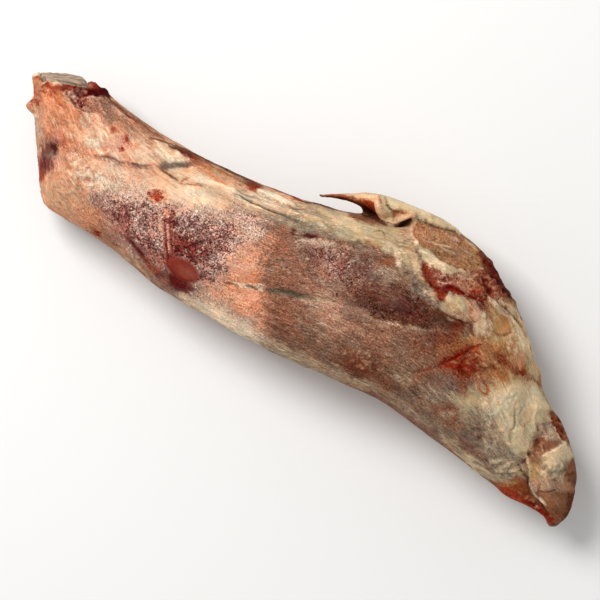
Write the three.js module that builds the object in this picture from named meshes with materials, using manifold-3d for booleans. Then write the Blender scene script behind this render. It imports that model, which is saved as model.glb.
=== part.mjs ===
// A raw lamb foreshank lying on its side: the meat in one piece, with the sawn leg bone inside it.
// Millimetres, +Z up. +X runs along the shank from the sawn knuckle to the elbow, and the origin is
// on the resting surface, under the middle of the shank's box.
import * as THREE from "three";
import { mergeVertices } from "three/addons/utils/BufferGeometryUtils.js";
import Module from "manifold-3d";

const wasm = await Module();
wasm.setup();

// Driving dimensions
const BONE_CLEARANCE = 0.3; // gap between the bone and the meat around it
const HEEL_RIM = 2.6; // meat left between the bone and the heel cut
const SAW_PROUD = 0.4; // how far the hard bone stands out of the sawn face
const SECTION_POWER = 2.25; // 2 is an ellipse, and more is squarer
const RELIEF_STARTS = 0.15; // height on a section, from -1 to 1, where the relief of the top begins
const RELIEF_FULL = 0.7; // and where it has its full height
const HOLLOW_STEPS = 40; // points that a hollow's line is followed by
const CUTTER_REACH = 400; // side of the blocks that make the flat cuts

// Cross-sections of the meat, from the knuckle to the elbow. near and far are the sides at -Y and +Y,
// and under and over the lowest and highest points. Where under is below 0 the meat lies flat.
const MEAT_SECTIONS = [
  { x: -130, near: -38.0, far: 8.0, under: 20, over: 25 },
  { x: -122, near: -38.0, far: 8.0, under: 14.5, over: 30 },
  { x: -112, near: -38.0, far: 8.0, under: 9.5, over: 34.5 },
  { x: -98, near: -38.4, far: 7.0, under: 4.5, over: 38 },
  { x: -62, near: -38.4, far: 7.6, under: -2.5, over: 43.5 },
  { x: -45, near: -39.6, far: 10.2, under: -3, over: 45.5 },
  { x: -20, near: -37.6, far: 16.4, under: -3, over: 48 },
  { x: 0, near: -35.4, far: 23.8, under: -3, over: 51 },
  { x: 20, near: -31.6, far: 34.0, under: -3, over: 53 },
  { x: 34, near: -28.4, far: 39.4, under: -3, over: 53.5 },
  { x: 48, near: -26.2, far: 37.8, under: -3, over: 52 },
  { x: 62, near: -26.4, far: 32.0, under: -2.5, over: 50 },
  { x: 77, near: -26.8, far: 22.2, under: -1, over: 46.5 },
  { x: 91, near: -27.6, far: 10.8, under: 1.5, over: 41 },
  { x: 106, near: -27.0, far: 3.8, under: 5, over: 36.5 },
  { x: 120, near: -26.4, far: -9.4, under: 10, over: 29 },
  { x: 124.8, near: -25.4, far: -18.0, under: 14.5, over: 24 },
];
const MEAT_GRID = { along: 92, around: 44 };

// A tongue of fat along the +Y side: its thin tip, towards the knuckle, hangs loose, and its root runs on
// as a rim along the shoulder.
const FLAP_SECTIONS = [
  { x: -15.6, near: 20.2, far: 21.2, under: 27, over: 31 },
  { x: -8, near: 24.2, far: 26.9, under: 22, over: 37 },
  { x: 0, near: 26.6, far: 32.8, under: 17, over: 41 },
  { x: 7, near: 27.6, far: 35.2, under: 14, over: 43 },
  { x: 16, near: 28.5, far: 37.6, under: 12, over: 41 },
  { x: 27, near: 31.5, far: 40.0, under: 12, over: 36 },
  { x: 42, near: 33.0, far: 38.4, under: 16, over: 31 },
];
const FLAP_GRID = { along: 18, around: 20 };

// The leg bone: its broad lower end is sawn through at the knuckle, and the rest runs on inside the meat.
const BONE_SECTIONS = [
  { x: -130, near: -7.4, far: 8.0, under: 19.5, over: 25 },
  { x: -120, near: -8.0, far: 7.5, under: 16.5, over: 28 },
  { x: -110, near: -9.0, far: 6.4, under: 12.5, over: 30.5 },
  { x: -100, near: -12.0, far: 3.0, under: 12.5, over: 29.5 },
  { x: -84, near: -14.0, far: -1.0, under: 15, over: 28 },
  { x: -40, near: -9.0, far: 4.0, under: 17, over: 30 },
  { x: 10, near: -2.0, far: 13.0, under: 18, over: 33 },
  { x: 48, near: -6.0, far: 16.0, under: 13, over: 37 },
  { x: 58, near: -2.0, far: 12.0, under: 18, over: 32 },
];
const BONE_GRID = { along: 30, around: 18 };

// Flat cuts: a point on each, and the way that it faces.
const JOINT_CUT = { at: [-112.3, -0.5, 33.2], faces: [-0.468, 0.846, 0.254] };
const HEEL_CUT = { at: [-109.2, -20.6, 22], faces: [-0.727, -0.644, 0.24] };
const MUSCLE_CUT = { at: [31, 26.6, 44.8], faces: [-0.06, 0.8, 0.6] };

// Long hollows in the upper side: between tendon and muscle, between two muscles, under the edge
// of the fat, and behind the elbow's knob. Each is a line seen from above, with its depth and half width.
const HOLLOWS = [
  { line: [[-92, -14], [-78, -9], [-64, -1.5], [-42, 5], [-12, 11]], depth: 1.6, spread: 4 },
  { line: [[-27, -26], [0, -12], [34, 1.5], [56, 12]], depth: 2, spread: 5 },
  { line: [[18, 24], [32, 16], [46, 9.5], [58, 11.5]], depth: 3, spread: 5 },
  { line: [[86, 6], [96, -6], [103, -15], [112, -24]], depth: 3.4, spread: 3.2 },
];

// Swellings of the upper side: where each is, how far it reaches along and across, and its rise.
const SWELLINGS = [
  { name: "flexor belly", x: -48, y: -20, along: 30, across: 12, rise: 2.2 },
  { name: "extensor belly", x: 12, y: 6, along: 26, across: 9, rise: 1.8 },
  { name: "lower belly", x: 30, y: -14, along: 30, across: 10, rise: 1.8 },
  { name: "fat at the joint", x: 48, y: 19, along: 9, across: 5, rise: 3 },
  { name: "fat beside it", x: 57, y: 14, along: 5, across: 4, rise: 2 },
  { name: "elbow pad", x: 86, y: -3, along: 11, across: 10, rise: 2.4 },
  { name: "elbow knob", x: 108, y: -12, along: 7, across: 7, rise: 4 },
];

const MEAT_FINISH = { color: 0x9c6550, roughness: 0.55, metalness: 0 };
const BONE_FINISH = { color: 0xb9a78f, roughness: 0.7, metalness: 0 };

// A number's power that keeps its sign.
function signedPower(value, power) {
  return Math.sign(value) * Math.abs(value) ** power;
}

// A body lofted through cross-sections that stand along X. A cylinder's rings are laid over the
// sections, pushed out by grow, pressed flat on the resting surface, and raised by relief(x, y) on top.
function loft(sections, grid, { grow = 0, relief = () => 0 } = {}) {
  const sizes = new THREE.CubicInterpolant(
    sections.map((s) => s.x),
    sections.flatMap((s) => [s.near, s.far, s.under, s.over]),
    4,
  );
  const [start, end] = [sections[0].x, sections.at(-1).x];
  const body = new THREE.CylinderGeometry(1, 1, 1, grid.around, grid.along);
  const point = body.getAttribute("position");
  for (let i = 0; i < point.count; i++) {
    const across = signedPower(point.getZ(i), 2 / SECTION_POWER);
    const upward = signedPower(point.getX(i), 2 / SECTION_POWER);
    const x = THREE.MathUtils.lerp(start - grow, end + grow, point.getY(i) + 0.5);
    const [near, far, under, over] = sizes.evaluate(THREE.MathUtils.clamp(x, start, end));
    const y = (near + far) / 2 + across * ((far - near) / 2 + grow);
    const z = (under + over) / 2 + upward * ((over - under) / 2 + grow);
    const raised = relief(x, y) * THREE.MathUtils.smoothstep(upward, RELIEF_STARTS, RELIEF_FULL);
    point.setXYZ(i, x, y, Math.max(0, z + raised));
  }
  return body;
}

// How far the top of the meat is raised, or sunk where negative, at a place seen from above. Swellings
// add up, and where hollows meet the deepest counts.
function meatRelief() {
  const lines = HOLLOWS.map(({ line, depth, spread }) => ({
    depth,
    spread,
    points: new THREE.SplineCurve(line.map((p) => new THREE.Vector2(...p))).getSpacedPoints(HOLLOW_STEPS),
  }));
  const place = new THREE.Vector2();
  return (x, y) => {
    place.set(x, y);
    let rise = 0;
    for (const s of SWELLINGS) {
      const [along, across] = [(x - s.x) / s.along, (y - s.y) / s.across];
      rise += s.rise * Math.exp(-(along ** 2) - across ** 2);
    }
    const sunk = lines.map(({ depth, spread, points }) => {
      const away = Math.min(...points.map((p) => p.distanceTo(place)));
      return depth * Math.exp(-((away / spread) ** 2));
    });
    return rise - Math.max(...sunk);
  };
}

// A closed geometry as a solid that can be cut and joined.
function solidOf(geometry) {
  const bare = geometry.clone();
  bare.deleteAttribute("normal");
  bare.deleteAttribute("uv");
  const merged = mergeVertices(bare);
  return new wasm.Manifold(
    new wasm.Mesh({
      numProp: 3,
      vertProperties: merged.getAttribute("position").array,
      triVerts: new Uint32Array(merged.index.array),
    }),
  );
}

// A block that covers everything beyond a flat cut, moved outwards by proud.
function beyond(cut, proud = 0) {
  const faces = new THREE.Vector3(...cut.faces).normalize();
  const block = new THREE.BoxGeometry(CUTTER_REACH, CUTTER_REACH, CUTTER_REACH);
  block.translate(0, 0, CUTTER_REACH / 2 + proud);
  block.applyQuaternion(new THREE.Quaternion().setFromUnitVectors(new THREE.Vector3(0, 0, 1), faces));
  block.translate(...cut.at);
  return solidOf(block);
}

// A named mesh of a solid.
function meshOf(name, solid, finish) {
  const made = solid.getMesh();
  const geometry = new THREE.BufferGeometry();
  geometry.setAttribute("position", new THREE.BufferAttribute(made.vertProperties, made.numProp));
  geometry.setIndex(new THREE.BufferAttribute(made.triVerts, 1));
  geometry.computeVertexNormals();
  const mesh = new THREE.Mesh(geometry, new THREE.MeshStandardMaterial(finish));
  mesh.name = name;
  return mesh;
}

// The leg bone before it is sawn, larger all round by grow, and kept inside the meat at the heel.
function boneInside(grow = 0) {
  return solidOf(loft(BONE_SECTIONS, BONE_GRID, { grow })).subtract(beyond(HEEL_CUT, grow - HEEL_RIM));
}

// The meat: the lofted body with its flap, cut flat at the knuckle, heel and shoulder muscle, and
// with room for the bone.
function makeMeat() {
  const body = solidOf(loft(MEAT_SECTIONS, MEAT_GRID, { relief: meatRelief() })).subtract(beyond(MUSCLE_CUT));
  const flap = solidOf(loft(FLAP_SECTIONS, FLAP_GRID));
  const sawn = body.add(flap).subtract(beyond(JOINT_CUT)).subtract(beyond(HEEL_CUT));
  return meshOf("meat", sawn.subtract(boneInside(BONE_CLEARANCE)), MEAT_FINISH);
}

// The bone, sawn off at the knuckle.
function makeBone() {
  const bone = boneInside().subtract(beyond(JOINT_CUT, SAW_PROUD));
  return meshOf("bone", bone, BONE_FINISH);
}

// The shank, moved so that its origin is under the middle of its box.
function makeShank() {
  const shank = new THREE.Group();
  shank.add(makeMeat(), makeBone());
  const box = new THREE.Box3().setFromObject(shank, true);
  const middle = box.getCenter(new THREE.Vector3());
  shank.position.set(-middle.x, -middle.y, -box.min.z);
  return shank;
}

export default makeShank();
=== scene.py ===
"""The looks of a raw lamb foreshank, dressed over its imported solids.

Everything is in metres in the part's own frame: +X runs from the sawn knuckle to the elbow and +Z is up.
Markings of the upper side are placed in pixels of a square picture taken from above, and TopView turns
the two into each other.
"""

from __future__ import annotations

import itertools
import logging
import math
from dataclasses import KW_ONLY, dataclass, field
from enum import Enum

import bmesh
import bpy
import numpy as np
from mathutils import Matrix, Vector
from mathutils.bvhtree import BVHTree

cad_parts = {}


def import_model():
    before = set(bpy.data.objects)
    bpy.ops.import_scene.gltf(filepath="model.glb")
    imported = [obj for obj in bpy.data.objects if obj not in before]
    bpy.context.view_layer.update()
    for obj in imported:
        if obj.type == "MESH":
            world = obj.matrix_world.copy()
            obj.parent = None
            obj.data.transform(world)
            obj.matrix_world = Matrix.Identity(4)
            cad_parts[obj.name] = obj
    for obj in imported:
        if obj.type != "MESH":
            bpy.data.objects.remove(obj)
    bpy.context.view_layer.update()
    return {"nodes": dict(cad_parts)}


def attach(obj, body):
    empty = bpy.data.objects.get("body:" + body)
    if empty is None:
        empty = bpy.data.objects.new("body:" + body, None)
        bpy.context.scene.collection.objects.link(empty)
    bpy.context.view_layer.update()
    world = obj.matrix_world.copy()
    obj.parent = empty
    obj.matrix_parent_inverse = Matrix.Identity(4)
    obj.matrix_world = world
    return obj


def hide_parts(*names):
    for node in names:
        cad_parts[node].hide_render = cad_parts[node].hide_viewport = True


LOG = logging.getLogger("foreshank")
MM = 1e-3
BODY = "root"
Pair = tuple[float, float]
Triple = tuple[float, float, float]
Pixel = Pair


def linear(colour: str) -> np.ndarray:
    """Turns a colour as it is seen, written as six hex digits, into linear light."""
    seen = np.array([int(colour[i : i + 2], 16) for i in (0, 2, 4)]) / 255
    return np.where(seen <= 0.04045, seen / 12.92, ((seen + 0.055) / 1.055) ** 2.4)


def smooth_step(low: float, high: float, value: np.ndarray) -> np.ndarray:
    """Rises smoothly from 0 at low to 1 at high."""
    share = np.clip((value - low) / (high - low), 0, 1)
    return share * share * (3 - 2 * share)


@dataclass(frozen=True)
class TopView:
    """The camera's view from above, which also places the markings.

    Attributes:
        side: Pixels along each side of the picture.
        turn: How far the picture is turned about Z.
        pixel: Length that one pixel covers at the height of the outline.
        middle: Where the middle of the picture lies on the part.
        outline: Height of the part's outline.
        lens: Focal length in millimetres.
        sensor: Width of the sensor in millimetres.
    """

    side: int = 600
    turn: float = math.radians(35.5)
    pixel: float = 0.36 * MM
    middle: Pair = (1.45 * MM, -13.9 * MM)
    outline: float = 25 * MM
    lens: float = 200.0
    sensor: float = 36.0

    @property
    def distance(self) -> float:
        """Distance from the camera down to the height of the outline."""
        return self.pixel * self.side * self.lens / self.sensor

    @property
    def eye(self) -> Vector:
        """Where the camera stands."""
        return Vector((*self.middle, self.outline + self.distance))

    def pixels(self, points: np.ndarray) -> np.ndarray:
        """Finds where points are seen in the picture.

        Args:
            points: Places on the part, one in each row.

        Returns:
            The pixel of each place, right and down.
        """
        away = points - np.array(self.eye)
        flat = away[:, :2] * (self.distance / -away[:, 2:])
        right = np.array([math.cos(self.turn), math.sin(self.turn)])
        down = np.array([math.sin(self.turn), -math.cos(self.turn)])
        return self.side / 2 + np.stack([flat @ right, flat @ down], axis=1) / self.pixel

    def place(self, pixel: Pixel, height: float) -> Vector:
        """Finds the place at a height that is seen at a pixel.

        Args:
            pixel: The pixel, right and down.
            height: Height of the place.

        Returns:
            The place on the part.
        """
        reach = (self.eye.z - height) / self.distance * self.pixel
        right, down = ((n - self.side / 2) * reach for n in pixel)
        cos, sin = math.cos(self.turn), math.sin(self.turn)
        return Vector((self.eye.x + right * cos + down * sin, self.eye.y + right * sin - down * cos, height))

    def make_camera(self) -> None:
        """Adds the camera to the scene."""
        lens = bpy.data.cameras.new("camera")
        lens.lens = self.lens
        lens.sensor_width = self.sensor
        camera = new_object("camera", lens)
        camera.location = self.eye
        camera.rotation_euler = (0, 0, self.turn)
        bpy.context.scene.camera = camera


VIEW = TopView()


class SpaceNoise:
    """Smooth seeded noise in space, from about -1 to 1."""

    CELLS = 256
    # How far each finer octave is shifted, and what spreads their sum to about -1 to 1.
    SHIFT = 17.3
    GAIN = 1.5

    def __init__(self, seed: int) -> None:
        """Draws the noise's lattice."""
        draw = np.random.default_rng(seed)
        self.order = np.tile(draw.permutation(self.CELLS), 2)
        slopes = draw.normal(size=(self.CELLS, 3))
        self.slopes = slopes / np.linalg.norm(slopes, axis=1, keepdims=True)

    def at(self, points: np.ndarray, size: float, octaves: int = 1) -> np.ndarray:
        """Gives the noise at places.

        Args:
            points: Places, one in each row.
            size: Size of the largest lumps.
            octaves: How many times finer lumps of half the size are added.

        Returns:
            The noise at each place.
        """
        total = np.zeros(len(points))
        for octave in range(octaves):
            share = 0.5**octave
            total += share * self._octave(points / (size * share) + self.SHIFT * octave)
        return total * self.GAIN

    def _octave(self, points: np.ndarray) -> np.ndarray:
        """Gives noise with lumps one unit in size."""
        corner = np.floor(points).astype(int)
        inside = points - corner
        ease = inside**3 * (inside * (inside * 6 - 15) + 10)
        total = np.zeros(len(points))
        for step in itertools.product((0, 1), repeat=3):
            offset = np.array(step)
            cell = (corner + offset) % self.CELLS
            key = self.order[self.order[self.order[cell[:, 0]] + cell[:, 1]] + cell[:, 2]]
            share = np.prod(np.where(offset, ease, 1 - ease), axis=1)
            total += share * np.einsum("ij,ij->i", self.slopes[key], inside - offset)
        return total


@dataclass(frozen=True)
class Look:
    """How one tissue looks.

    Attributes:
        colour: Its colour in soft light, between its flecks.
        pale: Share of pale flecks, of dried membrane.
        dark: Share of dark pits.
        fibres: Strength of its fibres, which run along the shank.
        wet: How wet it is, which also sets how much painted highlight its crests and curls take.
        coarse: How coarse its grain is.
        folds: How much its membrane is wrinkled.
    """

    colour: str
    pale: float = 0.2
    dark: float = 0.2
    fibres: float = 0.3
    wet: float = 0.3
    coarse: float = 0.3
    folds: float = 0.2

    @property
    def numbers(self) -> np.ndarray:
        """The look as a row of numbers that can be mixed with others."""
        traits = self.pale, self.dark, self.fibres, self.wet, self.coarse, self.folds
        return np.array([*linear(self.colour), *traits])


class Tissue(Enum):
    """The tissues that show in the surface. Part of the light falling from the knuckle's side is painted into
    their colours, lighter towards the knuckle and darker towards the elbow.
    """

    TAN = Look("87604b", pale=0.05, dark=0.15, fibres=1.0, coarse=0.5, folds=0.05)
    TAUPE = Look("8a6950", pale=0.04, dark=0.12, fibres=1.0, coarse=0.45, folds=0.05)
    RUSSET = Look("905a44", pale=0.05, dark=0.15, fibres=1.0, coarse=0.5, folds=0.05)
    PEACH = Look("cf916d", pale=0.02, dark=0.0, fibres=0.12, wet=0.5, coarse=0.05, folds=0.7)
    CREAM = Look("e2b690", pale=0.02, dark=0.0, fibres=0.1, wet=0.5, coarse=0.05, folds=0.6)
    # Pale membrane, and painted highlights on wet strands, ridges and fat
    IVORY_AND_HIGHLIGHT = Look("fbe3c2", pale=0.0, dark=0.0, fibres=0.4, wet=0.5, coarse=0.15, folds=0.1)
    FROST = Look("c8a68e", pale=0.4, dark=0.3, fibres=0.15, wet=0.4, coarse=0.6, folds=0.4)
    BUFF = Look("d09a75", pale=0.1, dark=0.04, fibres=0.3, wet=0.4, coarse=0.2, folds=0.5)
    BEIGE = Look("ad826b", pale=0.12, dark=0.1, fibres=0.9, coarse=0.4)
    ORANGE = Look("d07d50", pale=0.0, dark=0.0, fibres=0.2, wet=0.4, coarse=0.05, folds=0.6)
    PINK = Look("e3a58c", pale=0.1, dark=0.04, fibres=0.15, wet=0.55, coarse=0.2, folds=0.6)
    SALMON = Look("dd9874", pale=0.25, dark=0.08, fibres=0.45, wet=0.4, coarse=0.7, folds=0.05)
    PURPLE = Look("ae6c60", pale=0.5, dark=0.85, fibres=0.15, coarse=1.0)
    LILAC = Look("d0a696", pale=0.45, dark=0.75, fibres=0.15, coarse=1.0)
    BURGUNDY = Look("7e302a", pale=0.24, dark=0.75, fibres=0.15, wet=0.3, coarse=1.0)
    BRUISE = Look("683733", pale=0.1, dark=0.3, fibres=0.12, wet=0.4, coarse=0.6)
    OXBLOOD = Look("84352a", pale=0.0, dark=0.0, fibres=0.1, wet=0.5, coarse=0.1, folds=0.0)
    SCARLET = Look("ac3d20", pale=0.14, dark=0.5, fibres=0.15, wet=0.35, coarse=0.8)
    RED = Look("8f1f0b", pale=0.14, dark=0.5, fibres=0.15, wet=0.35, coarse=0.8)
    DARK_RED = Look("5f0a04", pale=0.0, dark=0.3, fibres=0.15, wet=0.35, coarse=0.6)
    CLOT = Look("420605", pale=0.0, dark=0.2, fibres=0.1, wet=0.4, coarse=0.5)
    GORE = Look("7e3018", pale=0.14, dark=0.45, fibres=0.4, wet=0.3, coarse=0.8)
    MAUVE = Look("805747", pale=0.28, dark=0.65, fibres=0.35, coarse=1.0, folds=0.1)
    FLESH = Look("9c654b", pale=0.2, dark=0.6, fibres=0.15, wet=0.4, coarse=1.0, folds=0.2)
    RUST = Look("98502c", pale=0.03, dark=0.15, fibres=0.5, wet=0.25, coarse=0.4)
    GRISTLE = Look("b59a80", pale=0.12, dark=0.15, fibres=0.6, wet=0.3, coarse=0.4)
    VEIN = Look("6d554b", pale=0.15, dark=0.3, fibres=0.3)
    SEAM = Look("57503f", pale=0.1, dark=0.2, fibres=0.5)
    SILVER = Look("b79c7e", pale=0.06, dark=0.04, fibres=1.0, wet=0.4, coarse=0.15, folds=0.2)
    GREY = Look("8c7d69", pale=0.12, dark=0.12, fibres=0.6, wet=0.4, coarse=0.35, folds=0.2)
    # Muscle in the dip where it runs under the fat, darkened by painted shade
    SHADED_DIP = Look("623a2d", pale=0.14, dark=0.5, fibres=1.0, coarse=0.9)
    FAT = Look("cdb58c", pale=0.05, dark=0.0, fibres=0.2, wet=0.45, coarse=0.15, folds=0.35)
    GREY_FAT = Look("b8a27c", pale=0.06, dark=0.02, fibres=0.2, wet=0.45, coarse=0.15, folds=0.35)
    ROSY_FAT = Look("dbb08a", pale=0.05, dark=0.0, fibres=0.15, wet=0.5, coarse=0.15, folds=0.3)
    PALE_FAT = Look("e2cca4", pale=0.0, dark=0.0, fibres=0.2, wet=0.5, coarse=0.12, folds=0.3)
    AMBER = Look("bf8b54", pale=0.0, dark=0.0, fibres=0.05, wet=0.5, coarse=0.1)
    SINEW = Look("8c5c3f", pale=0.0, dark=0.08, fibres=0.35, wet=0.4, coarse=0.2, folds=0.15)
    CUT = Look("a0714c", pale=0.03, dark=0.32, fibres=0.5, wet=0.2, coarse=0.65)
    OLIVE = Look("b8925f", pale=0.08, dark=0.05, fibres=0.6, coarse=0.2, folds=0.4)
    BROWN = Look("643420", pale=0.04, dark=0.3, fibres=0.4, coarse=0.8)
    # Painted shade in creases, cracks, recesses and gaps
    CREASE_SHADE = Look("3f2418", pale=0.0, dark=0.15, fibres=0.2)


@dataclass(frozen=True)
class Marking:
    """A tissue that shows somewhere in the upper side.

    Attributes:
        tissue: What shows there.
        cover: How much of what lies under it is covered, up to 1.
        edge: Half the width of its edge, and how far its edge wanders, in pixels.
        rise: How far it stands up, or is sunk where negative, in millimetres.
        patchy: Share of it that is broken up by what lies under it.
    """

    tissue: Tissue
    cover: float
    _: KW_ONLY
    edge: Pair
    rise: float = 0.0
    patchy: float = 0.0

    def outside(self, seen: np.ndarray) -> np.ndarray:
        """Gives the distance of pixels from the marking's edge, negative inside it."""
        raise NotImplementedError

    def box(self) -> np.ndarray:
        """Gives the pixels that the marking lies between."""
        raise NotImplementedError

    def near(self, seen: np.ndarray) -> np.ndarray:
        """Gives the numbers of the pixels that the marking can reach."""
        low, high = self.box()
        soft, ragged = self.edge
        margin = soft + 2 * ragged
        return np.flatnonzero(((seen > low - margin) & (seen < high + margin)).all(axis=1))

    def mask(self, seen: np.ndarray) -> np.ndarray:
        """Gives how much of each pixel the marking takes, from 0 to 1."""
        soft = self.edge[0]
        return 1 - smooth_step(-soft, soft, self.outside(seen))


@dataclass(frozen=True)
class Patch(Marking):
    """An oval marking: its middle, its reach along and across, and how it is turned from the right."""

    middle: Pixel
    reach: Pair
    turn: float
    edge: Pair = field(default=(4, 4), kw_only=True)

    def outside(self, seen: np.ndarray) -> np.ndarray:
        """Gives the distance of pixels from the oval's edge, negative inside it."""
        cos, sin = math.cos(math.radians(self.turn)), math.sin(math.radians(self.turn))
        away = seen - np.array(self.middle)
        along, across = (away @ np.array([cos, sin])), (away @ np.array([-sin, cos]))
        return (np.hypot(along / self.reach[0], across / self.reach[1]) - 1) * min(self.reach)

    def box(self) -> np.ndarray:
        """Gives the pixels that the oval lies between."""
        return np.array(self.middle) + max(self.reach) * np.array([[-1, -1], [1, 1]])


def smooth_path(points: tuple[Pixel, ...], steps: int = 5) -> np.ndarray:
    """Draws a smooth line through points.

    Args:
        points: The points, in order.
        steps: Pieces that each stretch between two points is drawn in.

    Returns:
        The points of the line, one in each row.
    """
    given = np.array(points, float)
    if len(given) < 3:
        return given
    padded = np.vstack([2 * given[0] - given[1], given, 2 * given[-1] - given[-2]])
    share = np.linspace(0, 1, steps, endpoint=False)[:, None]
    line = []
    for before, start, end, after in zip(padded, padded[1:], padded[2:], padded[3:]):
        pull = (end - before) / 2, (after - start) / 2
        square, cube = share**2, share**3
        line.append(
            (2 * cube - 3 * square + 1) * start
            + (cube - 2 * square + share) * pull[0]
            + (3 * square - 2 * cube) * end
            + (cube - square) * pull[1]
        )
    return np.vstack([*line, given[-1:]])


@dataclass(frozen=True)
class Stroke(Marking):
    """A marking along a line, which narrows to its ends: the line's points and its width."""

    path: tuple[Pixel, ...]
    width: float
    taper: float = 0.6
    edge: Pair = field(default=(0.9, 1), kw_only=True)

    def outside(self, seen: np.ndarray) -> np.ndarray:
        """Gives the distance of pixels from the stroke's edge, negative inside it."""
        line = smooth_path(self.path)
        lengths = np.linalg.norm(np.diff(line, axis=0), axis=1)
        run = np.concatenate([[0], np.cumsum(lengths)])
        best, where = np.full(len(seen), np.inf), np.zeros(len(seen))
        for start, end, length, before in zip(line, line[1:], lengths, run):
            along = np.clip((seen - start) @ (end - start) / length**2, 0, 1)
            away = np.linalg.norm(seen - start - along[:, None] * (end - start), axis=1)
            where = np.where(away < best, (before + along * length) / run[-1], where)
            best = np.minimum(best, away)
        return best - self.width / 2 * (1 - self.taper * (2 * where - 1) ** 2)

    def box(self) -> np.ndarray:
        """Gives the pixels that the stroke lies between."""
        line = smooth_path(self.path)
        return np.array([line.min(0) - self.width / 2, line.max(0) + self.width / 2])


@dataclass(frozen=True)
class Tuft:
    """Many fine strokes of one tissue, scattered over an oval.

    Attributes:
        tissue: What they are.
        cover: How much of what lies under them is covered, at most.
        middle: The oval's middle.
        reach: Its reach along and across.
        turn: How it is turned from the right, in degrees.
        count: How many strokes it has.
        length: Their length.
        width: Their width.
        lean: The way that they run, in degrees from the right.
        spread: How far they stray from that way.
        rise: How far they stand up, in millimetres.
    """

    tissue: Tissue
    cover: float
    middle: Pixel
    reach: Pair
    turn: float
    count: int
    length: float
    width: float
    lean: float
    spread: float = 12.0
    _: KW_ONLY
    rise: float = 0.0

    # Shares that each stroke's length, width, cover and bend are drawn from, and its taper and edge.
    LENGTHS = (0.6, 1.3)
    WIDTHS = (0.7, 1.3)
    COVERS = (0.6, 1.0)
    BENDS = (-0.35, 0.35)
    TAPER = 0.8
    EDGE = (1.1, 0.8)

    def strokes(self) -> list[Stroke]:
        """Draws the strokes, which are the same each time."""
        draw = np.random.default_rng([*(round(n) for n in self.middle), self.count])
        turn = math.radians(self.turn)
        made = []
        for _ in range(self.count):
            angle, away = draw.uniform(0, 2 * math.pi), math.sqrt(draw.uniform())
            along, across = self.reach[0] * away * math.cos(angle), self.reach[1] * away * math.sin(angle)
            middle = np.array(self.middle) + (
                along * math.cos(turn) - across * math.sin(turn),
                along * math.sin(turn) + across * math.cos(turn),
            )
            lean = math.radians(self.lean + draw.normal() * self.spread)
            way = np.array([math.cos(lean), math.sin(lean)]) * self.length * draw.uniform(*self.LENGTHS) / 2
            bend = np.array([-way[1], way[0]]) * draw.uniform(*self.BENDS)
            path = tuple(tuple(p) for p in (middle - way, middle + bend, middle + way))
            width = self.width * draw.uniform(*self.WIDTHS)
            cover = self.cover * draw.uniform(*self.COVERS)
            made.append(Stroke(self.tissue, cover, path, width, self.TAPER, edge=self.EDGE, rise=self.rise))
        return made


@dataclass(frozen=True)
class Area(Marking):
    """A marking with corners, given in order round it."""

    corners: tuple[Pixel, ...]
    edge: Pair = field(default=(6, 5), kw_only=True)

    def outside(self, seen: np.ndarray) -> np.ndarray:
        """Gives the distance of pixels from the area's edge, negative inside it."""
        ring = np.array([*self.corners, self.corners[0]], float)
        best, within = np.full(len(seen), np.inf), np.zeros(len(seen), bool)
        for start, end in zip(ring, ring[1:]):
            edge = end - start
            along = np.clip((seen - start) @ edge / (edge @ edge), 0, 1)
            best = np.minimum(best, np.linalg.norm(seen - start - along[:, None] * edge, axis=1))
            crosses = (seen[:, 1] < start[1]) != (seen[:, 1] < end[1])
            rise = edge[1] if edge[1] else 1.0
            within ^= crosses & (seen[:, 0] < start[0] + edge[0] * (seen[:, 1] - start[1]) / rise)
        return np.where(within, -best, best)

    def box(self) -> np.ndarray:
        """Gives the pixels that the area lies between."""
        ring = np.array(self.corners)
        return np.array([ring.min(0), ring.max(0)])


@dataclass(frozen=True)
class Bulge:
    """A lump or a nub of the surface: where it is seen, and its height, reach and rise in millimetres."""

    pixel: Pixel
    height: float
    reach: float
    rise: float

    def lift(self, places: np.ndarray) -> np.ndarray:
        """Gives how far the surface is raised at places."""
        middle = np.array(VIEW.place(self.pixel, self.height * MM))
        away = np.linalg.norm(places - middle, axis=1) / (self.reach * MM)
        return self.rise * MM * np.exp(-(away**2))


# Short for the many markings
T = Tissue
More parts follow.
